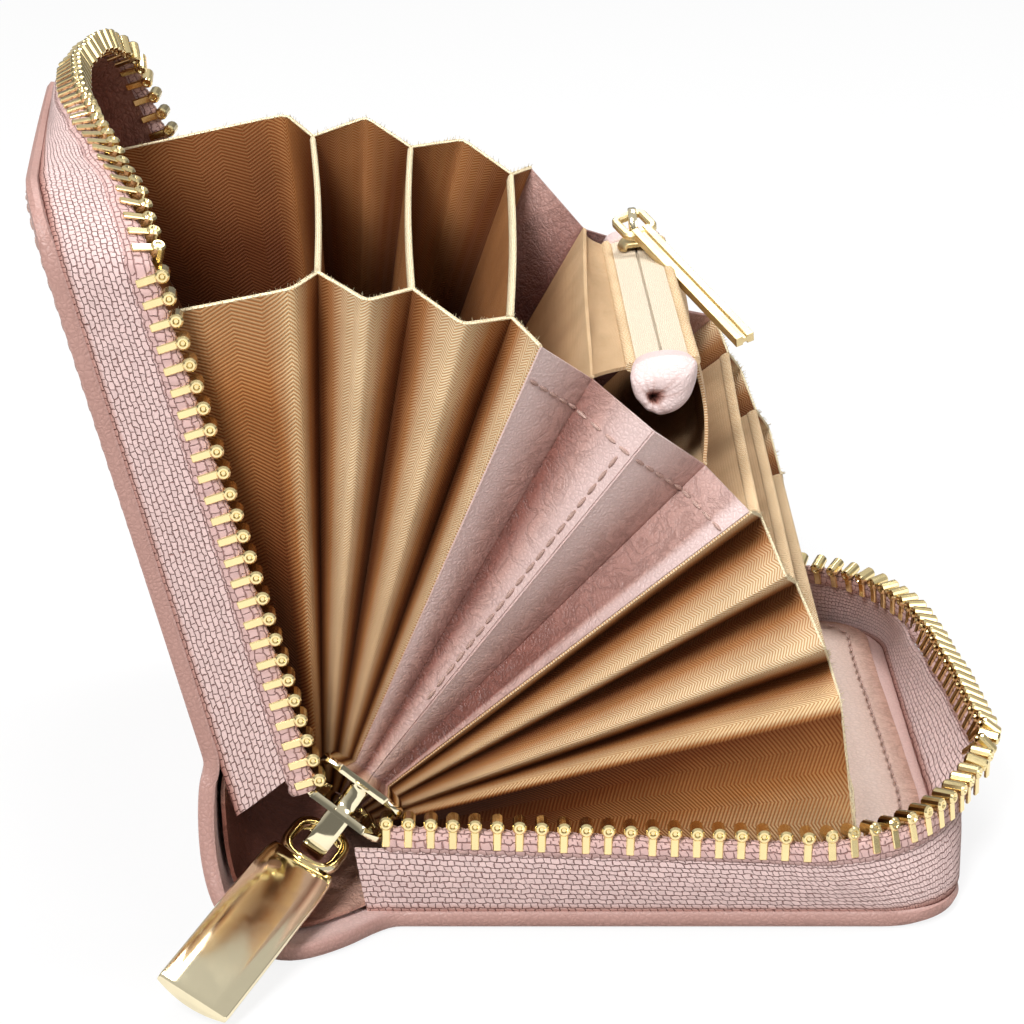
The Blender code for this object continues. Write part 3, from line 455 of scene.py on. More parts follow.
def leatherMaterial(name, colour, shade, roughness=0.48, size=1300.0, bump=0.00009,
                    specular=0.4, wrinkles=0.0):
    material, tree, shader = newMaterial(name, roughness, specular=specular)
    colour, shade = linear(*colour), linear(*shade)
    height, crease, mottle = placeGroup(tree, leatherGrain, "Object", Size=size)
    tone = mixColours(tree, mathNode(tree, "MULTIPLY", mottle, 0.32), colour, shade)
    tone = mixColours(tree, mathNode(tree, "MULTIPLY", crease, 0.22), tone,
                      dimmed(shade, 0.62))
    if wrinkles:
        # long wrinkles where the leather is drawn into a fold, with painted shade in their creases
        slow = noise(tree, addNode(tree, "TexCoord").outputs["Object"], 230.0, 5.0,
                     Roughness=0.62, Distortion=1.3)[0]
        away = mathNode(tree, "ABSOLUTE", mathNode(tree, "SUBTRACT", slow, 0.5))
        wrinkle = mathNode(tree, "MULTIPLY", ramp(tree, away, 0.0, 0.07, 1.0, 0.0),
                           ramp(tree, paintedShade(tree), 0.08, 0.45))
        tone = mixColours(tree, mathNode(tree, "MULTIPLY", wrinkle, 0.35), tone,
                          dimmed(shade, 0.55))
        height = mathNode(tree, "SUBTRACT", height,
                          mathNode(tree, "MULTIPLY", wrinkle, wrinkles))
    setInputs(tree, shader, {
        "Base Color": shaded(tree, tone, blushShades),
        "Roughness": ramp(tree, mottle, 0.0, 1.0, roughness - 0.06, roughness + 0.10),
        "Normal": bumpNormal(tree, height, bump, 0.55)})
    return material


def tapeMaterial(name, colour, gap, yarn, bump):
    material, tree, shader = newMaterial(name, 0.78, specular=0.2)
    colour = linear(*colour)
    height, between, yarns = placeGroup(tree, brickWeave, "UV", Yarn=yarn)
    tone = mixColours(tree, ramp(tree, yarns, 0.1, 0.9), colour, dimmed(colour, 1.16))
    woven = mixColours(tree, ramp(tree, between, 0.25, 1.0), tone, linear(*gap))
    setInputs(tree, shader, {"Base Color": shaded(tree, woven, blushShades),
                             "Normal": bumpNormal(tree, height, bump, 0.9)})
    return material


def clothMaterial(name, light, dark, band, rib, slope):
    material, tree, shader = newMaterial(name, 0.62, specular=0.12)
    light = linear(*light)
    height, ribs, slow = placeGroup(tree, herringbone, "UV", Band=band, Rib=rib, Slope=slope)
    tone = mixColours(tree, ramp(tree, slow, 0.35, 0.68), light, dimmed(light, 0.78))
    ribbed = mixColours(tree, ramp(tree, ribs, 0.70, 0.05, 0.0, 0.9), tone, linear(*dark))
    setInputs(tree, shader, {"Base Color": shaded(tree, ribbed, goldShades),
                             "Normal": bumpNormal(tree, height, 0.00010, 0.8)})
    return material


def metalMaterial(name, colour, roughness, scuff):
    material, tree, shader = newMaterial(name, roughness, 1.0)
    _, _, mottle = placeGroup(tree, leatherGrain, "Object", Size=700.0)
    setInputs(tree, shader, {
        "Base Color": mixColours(tree, mathNode(tree, "MULTIPLY", mottle, 0.35), (*colour, 1.0),
                                 dimmed(colour, 0.80)),
        "Roughness": ramp(tree, mottle, 0.2, 0.9, roughness, roughness + scuff)})
    return material


blushLeather = leatherMaterial("blush leather", (214, 184, 178), (196, 162, 155))
pocketLeather = leatherMaterial("blush pocket leather", (232, 210, 207), (214, 186, 181),
                                0.42, 1500.0, 0.00011, 0.4, 1.6)
liningLeather = leatherMaterial("blush lining", (232, 208, 196), (218, 190, 176),
                                0.75, 1100.0, 0.00018, 0.12, 1.2)
tapeCloth = tapeMaterial("blush zip tape", (219, 192, 188), (166, 124, 118), 0.00126, 0.00036)
beadCord = tapeMaterial("blush corded bead", (206, 172, 167), (168, 126, 120),
                        0.00150, 0.00024)
ribbedGold = clothMaterial("ribbed gold cloth", (247, 226, 188), (194, 140, 84),
                           0.0015, 0.00046, 0.6)
herringboneGold = clothMaterial("herringbone gold cloth", (246, 218, 172), (188, 130, 76),
                                0.0030, 0.00062, 0.70)
creamEdge = tapeMaterial("cream edge", (244, 226, 190), (200, 160, 104), 0.00070, 0.00012)
creamTape = tapeMaterial("cream zip tape", (226, 212, 190), (196, 170, 140),
                         0.00042, 0.00006)
thread = tapeMaterial("blush thread", (214, 180, 168), (120, 78, 68), 0.00030, 0.00005)
toothGold = metalMaterial("tooth gold", (0.90, 0.73, 0.38), 0.15, 0.08)
paleGold = metalMaterial("pale gold", (0.88, 0.78, 0.54), 0.07, 0.06)
coinGold = metalMaterial("coin zip gold", (0.74, 0.60, 0.33), 0.40, 0.10)
print("materials made")

# covers and spine
skin = {
    "spinePath": ((-0.0010, -0.0144), (-0.0080, -0.0143), (-0.0140, -0.0127),
                  (-0.0184, -0.0085), (-0.0203, -0.0030), (-0.0208, 0.0030),
                  (-0.0206, 0.0078)),
    "bulgeShares": (0.80, 1.32, 1.25, 0.85, 0.5, 0.25, 0.1),
    "bulge": 0.0085, "leatherThick": 0.0024, "liningThick": 0.0006,
    "liningDepth": 0.0116, "liningInset": 0.0030,
    "stitchInset": 0.0026, "liningStitchInset": 0.0062, "stitchPitch": 0.0030,
    "stitchLength": 0.0021, "stitchRadius": 0.00027, "stitchUp": 0.00005,
    "flatShare": 0.38, "bendFrom": -0.0040, "bendBy": (-0.0165, 0.0, 0.0246),
}
fan = {
    "centre": (-0.0050, -0.0080), "innerRadius": 0.0080,
    "nearValleys": (89.2, 80.4, 70.8, 61.3, 46.8, 39.0, 30.9, 21.4),
    "farValleys": (93.2, 82.4, 70.8, 60.6, 44.9, 37.4, 29.4, 20.4),
    "valleyRadii": (0.0880, 0.0868, 0.0862, 0.0826, 0.0817, 0.0824, 0.0809, 0.0802),
    "nearRidges": (91.2, 84.4, 75.4, 68.0, 54.6, 42.0, 34.3, 25.6, 19.6),
    "farRidges": (96.4, 87.7, 76.8, 68.6, 53.6, 40.4, 33.2, 24.6, 18.4),
    "nearRadii": (0.0880, 0.0868, 0.0858, 0.0862, 0.0830, 0.0832, 0.0813, 0.0809, 0.0802),
    "farRadii": (0.0902, 0.0892, 0.0876, 0.0864, 0.0832, 0.0834, 0.0815, 0.0809, 0.0802),
    "valleyHalf": 0.0430, "ridgeHalf": 0.0520, "apexHalf": 0.0420, "endHalf": 0.0490,
    "upperSeat": (0.0020, 0.0680, 0.0750), "lowerSeat": (0.0140, 0.0765), "seatDepth": 0.0100,
    "clothThick": 0.0006, "ripple": 0.0003, "rimHalf": (0.00030, 0.00036),
    "bindingDepth": 0.0016, "bindingHalf": (0.00050, 0.0010), "panelShort": 0.0015,
    "seamPitch": 0.0027, "seamAt": 0.935, "seamLength": 0.0022, "seamRadius": 0.00030,
    "frayPerFold": 26, "frayLengths": (0.0003, 0.0011), "frayThick": (0.00004, 0.00009),
}


def catmull(points, share):
    # a smooth curve through the points, share 0 to 1 from the second to the last but one
    spans = len(points) - 3
    at = held(share) * spans
    i = min(int(at), spans - 1)
    t = at - i
    a, b, c, d = points[i:i + 4]
    return 0.5 * (2 * b + (c - a) * t + (2 * a - 5 * b + 4 * c - d) * t * t
                  + (3 * b - a - 3 * c + d) * t ** 3)


def spineCurve(y, inset):
    depth, lowerFrom, upperFrom = tray["depth"] - inset, tray["lowerFrom"], tray["upperFrom"]
    last = upperPlace(upperFrom, y, depth)
    drift = last - upperPlace(upperFrom, -tray["halfLength"], depth)
    middle = apex + Vector((fan["centre"][0], 0, fan["centre"][1] + tray["depth"] / 2))
    middle.y = 0
    points = [lowerPlace(lowerFrom + 0.010, y, depth), lowerPlace(lowerFrom, y, depth)]
    for i, (x, z) in enumerate(skin["spinePath"]):
        part = ((i + 1) / (len(skin["spinePath"]) + 1)) ** 3
        out = apex + Vector((x + drift.x * part, 0, z + drift.z * part)) - middle
        out.y = 0
        point = middle + out * (1 - inset / out.length)
        bulge = skin["bulge"] * skin["bulgeShares"][i] * (2 * alongSpine(y) - 1) ** 3
        point.y = apex.y + y + bulge
        points.append(point)
    return points + [last, upperPlace(upperFrom + 0.010, y, depth)]


def roundedReach(y, reach, halfLength, corner):
    past = max(abs(y) - (halfLength - corner), 0.0)
    return reach - corner + sqrt(max(corner * corner - past * past, 0.0))


def spread(v):
    # from -1 to 1, in steps that are closer at both ends
    return 0.7 * sin(pi * (v - 0.5)) + 0.3 * (2 * v - 1)


def skinPlace(inset, depth):
    # u runs from the lower cover's free edge round the spine to the upper one's
    half, flat = tray["halfLength"] - inset, skin["flatShare"]
    reach, corner = tray["reach"] - inset, tray["corner"] - inset

    def place(u, v):
        y = half * spread(v)
        if flat <= u <= 1 - flat:
            return catmull(spineCurve(y, tray["depth"] - depth), (u - flat) / (1 - 2 * flat))
        run = min(u, 1 - u) / flat
        share = 0.5 * (sin(pi / 2 * run) + run)
        cover, start = ((lowerPlace, tray["lowerFrom"]) if u < flat
                        else (upperPlace, tray["upperFrom"]))
        return cover(along(roundedReach(y, reach, half, corner), start, share), y, depth)

    return place


def bendLine():
    # where the skin starts and ends its turn from the lower to the upper cover
    start = lowerPlace(skin["bendFrom"], 0.0, tray["depth"])
    return start, start + Vector(skin["bendBy"])


def stitchLine(name, points, outward, size, template):
    matrices = []
    for a, b, normal in zip(points, points[1:], outward):
        forward = (b - a).normalized()
        side = normal.cross(forward).normalized()
        matrices.append(axesMatrix((a + b) / 2 + normal * size * 0.15, forward, side,
                                   side.cross(forward) * -1))
    return stampCopies(name, template, matrices)


def stitchTemplate(length, radius):
    deselectAll()
    bpy.ops.mesh.primitive_uv_sphere_add(segments=8, ring_count=5, radius=1.0)
    template = namePiece(bpy.context.active_object, "stitchTemplate")
    bpy.ops.object.mode_set(mode="EDIT")
    bpy.ops.transform.rotate(value=pi / 2, orient_axis="Y", center_override=(0, 0, 0))
    bpy.ops.transform.resize(value=(length / 2, radius, radius))
    bpy.ops.object.mode_set(mode="OBJECT")
    return template


def rimRun(place, inset, depth, pitch, start):
    # points at even steps round a cover's three free sides, drawn in by inset
    half, reach = tray["halfLength"] - inset, tray["reach"] - inset
    corner = tray["corner"] - inset
    straight, turn = reach - corner - start, pi / 2 * corner
    total = 2 * (straight + turn + half - corner)

    def spot(run):
        if run < straight:
            return start + run, -half
        if run < straight + turn:
            angle = (run - straight) / corner
            return (reach - corner + corner * sin(angle),
                    corner - half - corner * cos(angle))
        return reach, corner - half + run - straight - turn

    points = []
    for i in range(ceil(total / pitch)):
        x, y = spot(min(i * pitch, total - i * pitch))
        points.append(place(x, y if 2 * i * pitch < total else -y, depth))
    return points


def rimShade(u, v, width, run):
    # painted shade along the rim, where the edge turns from the light
    # 1 at the rim of the covers' skin, 0 from width within its sides and run within its ends
    side = tray["halfLength"] * (1 - abs(spread(v))) / width
    return held(1 - min(side, min(u, 1 - u) / run))


def makeCovers():
    bend = ("lower_cover", "upper_cover", *bendLine())
    # painted shade darkens the leather along its rim
    leather = gridPiece("coverLeather", 84, 54, skinPlace(0.0, tray["outer"]),
                        shade=lambda u, v: 0.38 * rimShade(u, v, 0.0013, 0.012))
    thicken(leather, skin["leatherThick"], -1.0)
    roundOff(leather)
    dress(leather, blushLeather,
          ("lower_leather", "upper_leather", "spine_leather", "lower_board", "upper_board"),
          bend=bend)

    # painted shade on the lining: dark in the hollow of the spine and along the rim
    def innerShade(u, v):
        spine = 0.88 * held(1.5 - abs(u - 0.5) / 0.10)
        return max(spine, 0.50 * rimShade(u, v, 0.0030, 0.020))

    lining = gridPiece("coverLining", 84, 40,
                       skinPlace(skin["liningInset"], skin["liningDepth"]), shade=innerShade)
    thicken(lining, skin["liningThick"], 1.0)
    dress(lining, liningLeather,
          ("lower_lining", "upper_lining", "spine_lining"), bend=bend)


def makeCoverStitches():
    radius, off = skin["stitchRadius"], skin["stitchUp"]
    template = stitchTemplate(skin["stitchLength"], radius)
    seams = (("Rim", skin["stitchInset"], tray["outer"] + off, -1),
             ("Lining", skin["liningStitchInset"],
              skin["liningDepth"] - skin["liningThick"] - off, 1))
    for side, place, start in (("lower", lowerPlace, tray["lowerFrom"] + 0.004),
                               ("upper", upperPlace, tray["upperFrom"] + 0.002)):
        for label, inset, depth, facing in seams:
            points = rimRun(place, inset, depth, skin["stitchPitch"], start)
            normals = [inward(place) * facing] * len(points)
            piece = stitchLine(side + label + "Stitches", points, normals, radius, template)
            dress(piece, thread, body=side + "_cover", degrees=60)
    bpy.data.objects.remove(template)


makeCovers()
makeCoverStitches()
print("covers made")

# the zip round the rim of the covers
zipRow = {
    "pitch": 0.00322, "tapeTop": 0.0046, "tapeThick": 0.0008, "tapeInset": 0.0012,
    "tapeShort": 0.0021, "footUp": 0.0015, "bow": 0.0009, "probe": 0.0006,
    "lowerTape": (-0.0004, 0.0024), "upperTape": (0.0005, -0.0060), "farTape": 0.0040,
    "lowerTeeth": 0.0052, "upperTeeth": -0.0045, "farTeeth": 0.0075,
    "headRadius": 0.00108, "headDepth": 0.0036, "headUp": -0.0003,
    "legThick": 0.00055, "legWidth": 0.00120, "legApart": 0.00112, "legTop": 0.0006,
    "legFrom": 0.0040,
    "beadDepth": 0.0030, "beadHalf": 0.00092, "beadTall": 0.0021,
    "stopSize": (0.0032, 0.0034, 0.0044), "stopBack": 0.0022, "stopDepth": 0.0028,
    "nearTurn": 0.0749, "peak": 0.0951, "peakAt": 0.0240, "farTurn": 0.0784,
    "nearSplit": -0.0300, "farSplit": 0.0380,
}


def ringLines(starts, reach, half, corner):
    # the five pieces of a rim with round corners, as (reach, y) from the near side's start to
    # the far side's
    turns = [pi / 2 * share for share in shares(24)]
    near = [(reach - corner + corner * sin(t), corner - half - corner * cos(t))
            for t in turns]
    far = [(x, -y) for x, y in reversed(near)]
    return [[(starts[0], -half), near[0]], near, [near[-1], far[0]], far,
            [far[-1], (starts[1], half)]]


def upperReach(y):
    # the upper row is drawn in at its near corner and reaches out towards the far one
    half, peakAt = tray["rowHalfLength"], zipRow["peakAt"]
    if y < peakAt:
        rest = min(((peakAt - y) / (peakAt + half)) ** 2, 1.0)
        return along(zipRow["nearTurn"], zipRow["peak"],
                     0.8 * (1 - rest) + 0.2 * sqrt(1 - rest))
    share = held((y - peakAt) / (half - peakAt))
    return along(zipRow["farTurn"], zipRow["peak"], (1 - share ** 2.5) ** 0.4)


def upperLines(starts):
    half, near, far = tray["rowHalfLength"], zipRow["nearSplit"], zipRow["farSplit"]
    lines = []
    for first, last, spacing in ((-half, near, lambda s: s * s), (near, far, lambda s: s),
                                 (far, half, lambda s: 1 - (1 - s) ** 2)):
        ys = [along(first, last, spacing(share)) for share in shares(30)]
        lines.append([(upperReach(y), y) for y in ys])
    return [[(starts[0], -half), lines[0][0]], *lines, [lines[2][-1], (starts[1], half)]]


def lineLength(line):
    return sum(dist(a, b) for a, b in zip(line, line[1:]))


def pointOn(line, run):
    for a, b in zip(line, line[1:]):
        step = dist(a, b)
        if run <= step:
            break
        run -= step
    share = min(run / step, 1.0)
    return along(a[0], b[0], share), along(a[1], b[1], share)


def makeRow(side, starts):
    # one cover's row of teeth, and the line on the cover where its tape is sewn on
    inset = zipRow["tapeInset"]
    if side == "upper":
        top = upperLines(starts)
    else:
        top = ringLines(starts, tray["rowReach"], tray["rowHalfLength"], tray["rowCorner"])
    foot = ringLines(starts, tray["reach"] - inset, tray["halfLength"] - inset,
                     tray["corner"] - inset)
    lengths = [lineLength(line) for line in top]
    return {"place": upperPlace if side == "upper" else lowerPlace, "top": top, "foot": foot,
            "lengths": lengths, "footLengths": [lineLength(line) for line in foot],
            "length": sum(lengths)}


def wallPoint(row, run, depth, offset=0.0, footShift=0.0):
    # a point of the wall between the row of teeth and the cover's rim, run along the row
    piece = 0
    while piece < 4 and run > row["lengths"][piece]:
        run -= row["lengths"][piece]
        piece += 1
    line, length = row["top"][piece], row["lengths"][piece]
    run = min(run, length)
    top = pointOn(line, run)
    before = pointOn(line, max(run - zipRow["probe"], 0.0))
    after = pointOn(line, min(run + zipRow["probe"], length))
    step = dist(before, after)
    out = ((after[1] - before[1]) / step, (before[0] - after[0]) / step)
    share = run / length
    base = pointOn(row["foot"][piece], share * row["footLengths"][piece])
    if piece == 0:
        base = (base[0] + footShift * (1 - share), base[1])
    down = depth / (tray["outer"] - zipRow["footUp"])
    bow = offset + zipRow["bow"] * sin(pi * held(down))
    reach, y = (along(a, b, down) + c * bow for a, b, c in zip(top, base, out))
    return row["place"](reach, y, depth)


def toothTemplate():
    # two legs under a round head with a dimple at each end; z points out of the tape
    deselectAll()
    bpy.ops.mesh.primitive_cylinder_add(vertices=12, radius=zipRow["headRadius"],
                                        depth=zipRow["headDepth"])
    template = namePiece(bpy.context.active_object, "toothTemplate")
    bpy.ops.object.mode_set(mode="EDIT")
    bpy.ops.transform.rotate(value=pi / 2, orient_axis="Y", center_override=(0, 0, 0))
    bpy.ops.mesh.bevel(offset=0.00030, segments=1, affect="EDGES")
    shape = bmesh.from_edit_mesh(template.data)
    for face in shape.faces:
        face.select_set(abs(face.normal.x) > 0.99)
    bmesh.update_edit_mesh(template.data)
    bpy.ops.mesh.inset(thickness=0.00026)
    bpy.ops.mesh.inset(thickness=0.00012)
    bpy.ops.transform.resize(value=(0.86, 0.8, 0.8))
    bpy.ops.mesh.select_all(action="SELECT")
    bpy.ops.transform.translate(value=(0, 0, zipRow["headUp"]))
    bpy.ops.mesh.select_all(action="DESELECT")
    for side in (-1, 1):
        bpy.ops.mesh.primitive_cube_add(size=1.0)
        bpy.ops.transform.resize(value=(zipRow["legThick"], zipRow["legWidth"],
                                        zipRow["legFrom"] - zipRow["legTop"]))
        bpy.ops.transform.translate(value=(side * zipRow["legApart"], 0,
                                           -(zipRow["legFrom"] + zipRow["legTop"]) / 2))
        bpy.ops.mesh.bevel(offset=0.00014, segments=1, affect="EDGES")
        bpy.ops.mesh.select_all(action="DESELECT")
    bpy.ops.object.mode_set(mode="OBJECT")
    return template


def toothMatrices(row, run):
    matrices, straight = [], inward(row["place"])
    total, pitch, probe = row["length"], zipRow["pitch"], zipRow["probe"]
    while run < total:
        here = wallPoint(row, run, 0.0)
        ahead = wallPoint(row, min(run + probe, total), 0.0)
        y = (ahead - wallPoint(row, max(run - probe, 0.0), 0.0)).normalized()
        wall = here - wallPoint(row, run, zipRow["legFrom"])
        wall = (wall - y * wall.dot(y)).normalized()
        # a tooth stands straight on a straight wall and goes with a wall that leans
        lean = held((0.975 - wall.dot(straight)) / 0.06)
        z = (wall + (straight - wall) * 0.55 * (1 - lean)).normalized()
        x = y.cross(z).normalized()
        matrices.append(axesMatrix(here, x, z.cross(x), z))
        gap = (wallPoint(row, min(run + pitch, total), 0.0) - here).length
        run += pitch * min(max(pitch / max(gap, 0.001), 0.7), 1.6)
    return matrices


def makeTape(side, starts):
    row = makeRow(side, (starts[0], zipRow["farTape"]))
    foot, top = tray["outer"] - zipRow["tapeShort"], zipRow["tapeTop"]
    total, body = row["length"], side + "_cover"

    def place(u, v):
        shift = (starts[1] - starts[0]) * (1 - u) ** 8
        return wallPoint(row, u * total, along(top, foot, v), 0.0, shift)

    # painted shade darkens the tape along its foot, next to the leather
    tape = gridPiece(side + "ZipTape", 150, 12, place, total, foot - top,
                     lambda u, v: 0.75 * held((v - 0.86) / 0.10))
    thicken(tape, zipRow["tapeThick"])
    dress(tape, tapeCloth, (side + "_zip_tape",), body=body)
    if side == "lower":
        return

    def shadedLiningPlace(u, v):
        return wallPoint(row, along(0.55, 0.995, u) * total,
                         along(0.0036, foot - 0.0025, v), -0.0012)

    # lining leather behind the upper tape round the far corner, darkened with painted shade
    inner = gridPiece("upperWallShadedLining", 60, 6, shadedLiningPlace, shade=lambda u, v: 0.66 + 0.14 * v)
    thicken(inner, 0.0003)
    dress(inner, liningLeather, body=body)


def makeBead(side, row, phase):
    count = 6 * int(row["length"] / zipRow["pitch"])
    runs = [row["length"] * share for share in shares(count)]
    centres = [wallPoint(row, run, zipRow["beadDepth"]) for run in runs]
    ups = [(wallPoint(row, run, 0.0) - centre).normalized() for run, centre in zip(runs, centres)]
    puff = [1 - 0.22 * cos(2 * pi * (run / zipRow["pitch"] - phase)) ** 4
            for run in runs]
    bead = sweep(side + "ZipBead", centres, sidesAlong(centres, ups), ups,
                 ellipse(zipRow["beadHalf"], zipRow["beadTall"], 10, 0.8),
                 sizes=[(size, 0.5 + 0.5 * size) for size in puff])
    dress(bead, beadCord, body=side + "_cover", degrees=60)


def makeStop(side, place):
    deselectAll()
    bpy.ops.mesh.primitive_cube_add(size=1.0)
    stop = namePiece(bpy.context.active_object, side + "ZipStop")
    bpy.ops.object.mode_set(mode="EDIT")
    bpy.ops.transform.resize(value=zipRow["stopSize"])
    bpy.ops.mesh.bevel(offset=0.0007, segments=3, affect="EDGES")
    bpy.ops.object.mode_set(mode="OBJECT")
    y = tray["rowHalfLength"]
    across = (place(0.004, y, 0.002) - place(0.005, y, 0.002)).normalized()
    up = inward(place, y)
    centre = place(zipRow["farTeeth"] - zipRow["stopBack"], y + 0.0002, zipRow["stopDepth"])
    stop.data.transform(axesMatrix(centre, across, up.cross(across), up))
    dress(stop, toothGold, (side + "_zip_stop",), body=side + "_cover")


def makeZip():
    template = toothTemplate()
    print("tooth faces:", len(template.data.polygons))
    for side, place, phase in (("lower", lowerPlace, 0.0), ("upper", upperPlace, 0.5)):
        makeTape(side, zipRow[side + "Tape"])
        row = makeRow(side, (zipRow[side + "Teeth"], zipRow["farTeeth"]))
        makeBead(side, row, phase)
        teeth = stampCopies(side + "ZipTeeth", template,
                            toothMatrices(row, zipRow["pitch"] * phase))
        dress(teeth, toothGold, (side + "_zip_chain",), body=side + "_cover",
              degrees=35)
        makeStop(side, place)
    bpy.data.objects.remove(template)


makeZip()
print("zip made")


# fraying threads along an edge
def frayPiece(name, points, outward, across, count, seed):
    chance = random.Random(seed)
    deselectAll()
    bpy.ops.mesh.primitive_cone_add(vertices=3, radius1=1.0, radius2=0.35, depth=1.0)
    template = namePiece(bpy.context.active_object, "threadTemplate")
    bpy.ops.object.mode_set(mode="EDIT")
    bpy.ops.transform.translate(value=(0, 0, 0.42))
    bpy.ops.object.mode_set(mode="OBJECT")
    matrices = []
    for _ in range(count):
        at = chance.random() * (len(points) - 1.001)
        i = int(at)
        spot = points[i].lerp(points[i + 1], at - i)
        ahead = (points[i + 1] - points[i]).normalized()
        lean = outward + ahead * chance.gauss(0, 0.55) + across * chance.gauss(0, 0.35)
        up = lean.normalized()
        side = up.cross(ahead).normalized()
        length = chance.uniform(*fan["frayLengths"])
        thick = chance.uniform(*fan["frayThick"])
        matrices.append(axesMatrix(spot, side * thick, up.cross(side) * thick, up * length))
    piece = stampCopies(name, template, matrices)
    bpy.data.objects.remove(template)
    return piece


# the fan of dividers and its pleated ends
def fanPoint(angle, radius, y):
    turn = radians(angle)
    return apex + Vector((fan["centre"][0] + radius * cos(turn), y,
                          fan["centre"][1] + radius * sin(turn)))


def foldLines(end):
    # every fold of one end, from the upper cover to the lower, as an inner and an outer point
    near = end < 0
    ridges, valleys, radii = ((fan["nearRidges"], fan["nearValleys"], fan["nearRadii"]) if near
                              else (fan["farRidges"], fan["farValleys"], fan["farRadii"]))
    apexY, seatY, inner = end * fan["apexHalf"], end * fan["endHalf"], fan["innerRadius"]

    def seat(place, inside, outside):
        return place(inside, apexY, fan["seatDepth"]), place(outside, seatY, fan["seatDepth"])

    def fold(angle, radius, half):
        return fanPoint(angle, inner, apexY), fanPoint(angle, radius, end * half)

    upperIn, upperNear, upperFar = fan["upperSeat"]
    lines = [seat(upperPlace, upperIn, upperNear if near else upperFar)]
    for i, ridge in enumerate(ridges):
        lines.append(fold(ridge, radii[i], fan["ridgeHalf"]))
        if i < len(valleys):
            lines.append(fold(valleys[i], fan["valleyRadii"][i], fan["valleyHalf"]))
    return lines + [seat(lowerPlace, *fan["lowerSeat"])]


def pleatPlace(lines, ripple, seed):
    # the lines in order across one pleat, with the folds rounded and the cloth rippled
    spans = len(lines) - 1
    phase = random.Random(seed).uniform(0, 6)

    def onLines(u, v):
        at = held(u) * spans
        i = min(int(at), spans - 1)
        return lines[i][0].lerp(lines[i][1], v).lerp(lines[i + 1][0].lerp(lines[i + 1][1], v),
                                                     at - i)

    def place(u, v):
        soft = 0.045 if 0.02 < u < 0.98 else 0.0
        point = sum((onLines(u + soft * k, v) for k in (-1, -0.5, 0, 0.5, 1)), Vector()) / 5
        point.y += ripple * (sin(pi * u) * sin(7 * v + phase)
                             * sin(pi * v))
        return point

    return place


def middleLine(pair):
    return pair[0].lerp(pair[1], 0.8)


def foldShade(first, last, end, isPocket):
    # painted shade on the cloth: most in the valleys, on the sides turned from the light and
    # towards the slider; at counts the folds from the upper cover, and the odd ones are ridges
    def shade(u, v):
        at, inner = along(first, last, held(u)), 1 - v
        valley, falling = smooth(abs(at % 2 - 1)), at % 2 > 1
        if isPocket:
            deep = 0.62 * valley if falling else 0.80 * valley ** 1.4 + 0.10
            if last == 11:
                deep = 0.46 * (1 - held((at - 10.70) / 0.12)) + 0.06 + 0.40 * inner
        else:
            deep = (0.97 * valley ** 0.9 if falling
                    else 0.95 * valley ** (1.0 if at > 12 else 1.45))
            deep *= 0.84 if 11 < at < 12 else 1.0
        deep *= 1 - 0.3 * v ** 4
        if first == 0:
            panel = held(0.30 + 0.80 * inner) * (1 - 0.8 * held((at - 0.86) / 0.14))
            deep = panel if at < 1 else max(deep, 0.25 * inner)
        if last == 18 and at > 17:
            deep = held(0.78 * (18 - at) ** 1.1 + 0.58 * inner ** 1.9)
        if end > 0 and first < 11:
            deep = held(0.44 + 0.42 * deep + 0.32 * inner)
        return held(1 - (1 - deep) * (1 - 0.30 * inner ** 1.5))
    return shade


def makeSeams(name, place, width, end, bend):
    # stitches along the pocket's rim, and down the ridge that the photograph shows stitched
    template = stitchTemplate(fan["seamLength"], fan["seamRadius"])
    count = int(width / fan["seamPitch"])
    seams = [[(held((i + 0.1) / count), fan["seamAt"]) for i in range(count + 1)]]
    if name.endswith("PocketPleat2"):
        seams.append([(0.86, 0.92 - 0.034 * i) for i in range(20)])
    rows = []
    for seam in seams:
        marks, outs = [], []
        for u, v in seam:
            out = (place(u + 0.02, v) - place(u - 0.02, v)).cross(
                place(u, v + 0.02) - place(u, v - 0.02)).normalized()
            outs.append(out * copysign(1.0, out.y * end))
            marks.append(place(u, v) + outs[-1] * 0.00042)
        rows.append(stitchLine(name + "Stitches", marks, outs, 0.00028, template))
    bpy.data.objects.remove(template)
    dress(joinInto(name + "Stitches", rows), thread, bend=bend, degrees=60)


def makePleat(name, lines, first, last, end, material, replaced, bend):
    # the cloth between two folds of one end, counted from the upper cover
    chosen, spans, seed = lines[first:last + 1], last - first, 10 * first + 1 + end
    isPocket = material == pocketLeather
    length = (chosen[1][1] - chosen[1][0]).length
    width = sum((b[1] - a[1]).length for a, b in zip(chosen, chosen[1:]))
    place = pleatPlace(chosen, fan["ripple"] * end, seed)
    # the pleat carries painted shade from foldShade
    pleat = gridPiece(name, 13 * spans, 22, place, width, length,
                      foldShade(first, last, end, isPocket))
    thicken(pleat, fan["clothThick"])
    dress(pleat, material, replaced, bend=bend,
          degrees=50)
    if isPocket:
        makeSeams(name, place, width, end, bend)
        return
    points = [place(share, 1.0) for share in shares(8 * spans)]
    outward = (chosen[1][1] - chosen[1][0]).normalized()
    across = Vector((0, 1, 0))
    edge = tubeAlong(name + "Rim", points, across, fan["rimHalf"], 6)
    fray = frayPiece(name + "Fray", points, outward, across, fan["frayPerFold"] * spans, seed)
    dress(joinInto(name + "Edge", [edge, fray]), creamEdge, bend=bend,
          degrees=60)


